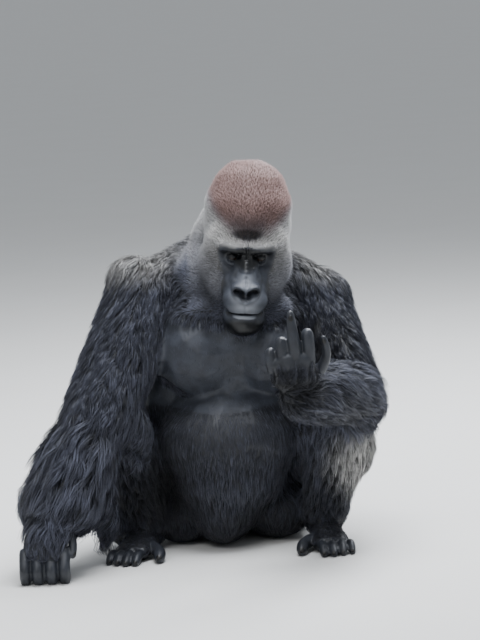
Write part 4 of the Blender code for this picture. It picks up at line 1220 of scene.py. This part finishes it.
def spikes(spine, normals, half, joints):
    """Points of the tufts: three round each joint, narrower towards the tip, and the tip."""
    run = unit(np.diff(spine, axis=1))
    side = unit(np.cross(normals[:, :-1], run))
    rise = np.cross(run, side)
    parts = []
    for k in range(joints):
        radius = (half * (1 - 0.75 * k / joints))[:, None]
        for j in range(3):
            angle = math.tau * j / 3 + math.pi / 6
            out = math.cos(angle) * side[:, k] + 0.6 * math.sin(angle) * rise[:, k]
            parts.append(spine[:, k] + radius * out)
    parts.append(spine[:, joints])
    return np.stack(parts, 1)


def spike_mesh(name, points, joints):
    """One mesh of all the tufts, and the corners of one tuft's faces."""
    count, per_tuft = points.shape[:2]
    faces = tuft_faces(joints)
    corners = np.concatenate([np.array(f) for f in faces])
    sizes = np.array([len(f) for f in faces])
    mesh = bpy.data.meshes.new(name)
    mesh.vertices.add(count * per_tuft)
    mesh.vertices.foreach_set("co", points.astype(np.float32).ravel())
    mesh.loops.add(count * len(corners))
    indices = np.arange(count)[:, None] * per_tuft + corners
    mesh.loops.foreach_set("vertex_index", indices.astype(np.int32).ravel())
    starts = np.concatenate([[0], np.cumsum(np.tile(sizes, count))[:-1]])
    mesh.polygons.add(count * len(faces))
    mesh.polygons.foreach_set("loop_start", starts.astype(np.int32))
    mesh.update(calc_edges=True)
    mesh.shade_smooth()
    return mesh, corners


print("faces of a shaggy tuft:", len(tuft_faces(shaggy.joints)))

# %% Grow one piece of coat
# The size of a tuft's patch on the map, and how far the hair stays above the floor.
PATCH, FLOOR_GAP = 0.003, 0.002


def coat(name, names, count, seed, style, only):
    """Grows one piece of coat over the skin of some nodes."""
    draw = np.random.default_rng(seed)
    share = chart[:, THICK] * np.clip(1 - bare * 1.1, 0, 1) * named(owner, *names)
    if only is not None:
        share = share * only
    picked, shares = spread(draw, count, share)

    def take(values):
        return (values[picked] * shares.reshape((count, 3) + (1,) * (values.ndim - 1))).sum(axis=1)

    root, normal, way, row = take(skin_points), unit(take(skin_normals)), unit(take(lie)), take(chart)
    centres = root[draw.choice(count, max(1, count // style.lock), replace=False)]
    tree = KDTree(len(centres))
    for index, centre in enumerate(centres.tolist()):
        tree.insert(centre, index)
    tree.balance()
    lock = np.array([tree.find(q)[1] for q in root.tolist()])
    spine, normals = comb(draw, root, normal, way, row, lock, style)
    spine = locked(spine, lock, style)
    spine[:, :, 2] = np.maximum(spine[:, :, 2], FLOOR_GAP)
    half = row[:, WIDTH] / 2000 * draw.uniform(0.7, 1.25, count)
    points = spikes(spine, normals, half, style.joints)
    per_tuft = points.shape[1]
    mesh, corners = spike_mesh(name, points, style.joints)
    random_tone_and_painted_shade = 0.5 + style.contrast * draw.normal(size=lock.max() + 1)[lock]
    random_tone_and_painted_shade += 0.14 * style.grain * draw.normal(size=count)
    # Black hair and painted shade darken the tuft's shade.
    grey, rust, dark_and_painted_shade = markings_and_painted_light(root)
    random_tone_and_painted_shade = np.clip(random_tone_and_painted_shade, 0, 1) * (1 - 0.95 * dark_and_painted_shade)
    along = np.append(np.repeat(np.arange(style.joints) / style.joints, 3), 1.0)
    paleness = style.root_tone + (1 - style.root_tone) * along
    marks_and_painted_light = np.stack([np.broadcast_to(v, (count, per_tuft)) for v in
                      (grey[:, None], rust[:, None], random_tone_and_painted_shade[:, None], paleness[None, :])], 2)
    layer = mesh.color_attributes.new("marks_and_painted_light", "FLOAT_COLOR", "POINT")
    layer.data.foreach_set("color", marks_and_painted_light.astype(np.float32).ravel())
    # The map: a patch at each root's place, with the tuft's length across it.
    spots = map_places(root, names) * (1 - 2 * PATCH) + PATCH
    turn = np.append(np.tile([-0.5, 0.5, 0.0], style.joints), 0.0)
    patch = np.stack([turn, along - 0.5], 1) * PATCH
    corner_spots = (spots[:, None] + patch[None]).reshape(count, per_tuft, 2)[:, corners]
    layout = mesh.uv_layers.new(name="OFBake")
    layout.data.foreach_set("uv", corner_spots.astype(np.float32).ravel())
    place(name, mesh, hair)
    print(name, count, "tufts,", len(mesh.loops) - 2 * len(mesh.polygons), "triangles")


print("room under the hair at the floor:", FLOOR_GAP * 1000, "mm")

# %% [markdown]
# ## Hair
# Guard hair is smooth and dark, with a dull gloss. It is black at the root and paler at the tip. Silver and
# red hairs have root and tip colours of their own, and the marks mix the three. Each tuft's brightness
# carries painted shade, and the silver a painted highlight on the shoulder tops. A little sheen stands for
# the many fine hairs that a tuft replaces.

# %% Hair: smooth dark strands, paler towards their tips
hair, tree = new_material("guard_hair")
marks_and_painted_light = node(tree, "Attribute", attribute_name="marks_and_painted_light")
split = node(tree, "SeparateColor", {"Color": marks_and_painted_light.outputs["Color"]})
silver_share, red_share, random_tone_and_painted_shade = (split.outputs[i] for i in range(3))
along = marks_and_painted_light.outputs["Alpha"]
colour = linear("#000000")
for share, root_code, tip_code in ((1.0, "#06070a", "#595c6a"), (silver_share, "#6b6a69", "#bcbab6"),
                                   (red_share, "#443530", "#7e6560")):
    strand = node(tree, "MixRGB", {"Fac": along, "Color1": linear(root_code),
                                   "Color2": linear(tip_code)}).outputs[0]
    colour = node(tree, "MixRGB", {"Fac": share, "Color1": colour, "Color2": strand}).outputs[0]
# Brightness of the tuft, with the painted shade in it.
brightness_and_painted_shade = node(tree, "MapRange", {"Value": random_tone_and_painted_shade, "To Min": 0.06, "To Max": 2.00}).outputs[0]
colour = node(tree, "VectorMath", {0: colour, 1: brightness_and_painted_shade}, operation="MULTIPLY").outputs[0]
shader = node(tree, "BsdfPrincipled", {"Base Color": colour, "Roughness": 0.55,
                                       "Specular IOR Level": 0.22, "Sheen Weight": 0.06})
node(tree, "OutputMaterial", {"Surface": shader.outputs[0]})
print("hair ready:", len(tree.nodes), "nodes")

# %% [markdown]
# ## Grow the coat
# The coat is grown piece by piece, so that no mesh gets too heavy. The head has velvet of
# thousands of short tufts, the trunk lies flat, and the arms are shaggy. Each piece has a seed
# of its own for its random draws, so that it comes out the same each time.

# %% Grow the coat, piece by piece
back = ramp(skin_normals[:, 1], -0.30, -0.05)
COAT = [
    ("head", ["head"], 46000, "coat_brown", velvet, None),
    ("neck", ["neck"], 6500, "coat_black", full, None),
    ("back", ["chest", "pelvis"], 18500, "coat_silver", flat, back),
    ("breast", ["chest", "pelvis"], 6000, "coat_black", flat, 1 - back),
    ("belly", ["belly"], 14500, "coat_black", flat, None),
    ("upper_arm_R", ["upper_arm_R"], 18000, "coat_black", full, None),
    ("forearm_R", ["forearm_R", "hand_R"], 12000, "coat_black", shaggy, None),
    ("upper_arm_L", ["upper_arm_L"], 11000, "coat_black", full, None),
    ("forearm_L", ["forearm_L", "hand_L"], 8800, "coat_black", shaggy, None),
    ("leg_R", ["thigh_R", "shank_R", "foot_R"], 10000, "coat_black", full, None),
    ("leg_L", ["thigh_L", "shank_L", "foot_L"], 14000, "coat_black", full, None),
]
for seed, (name, names, count, slot, style, only) in enumerate(COAT, start=1):
    coat("coat_" + name, names, count, seed, style, only)
print("tufts in all:", sum(row[2] for row in COAT))
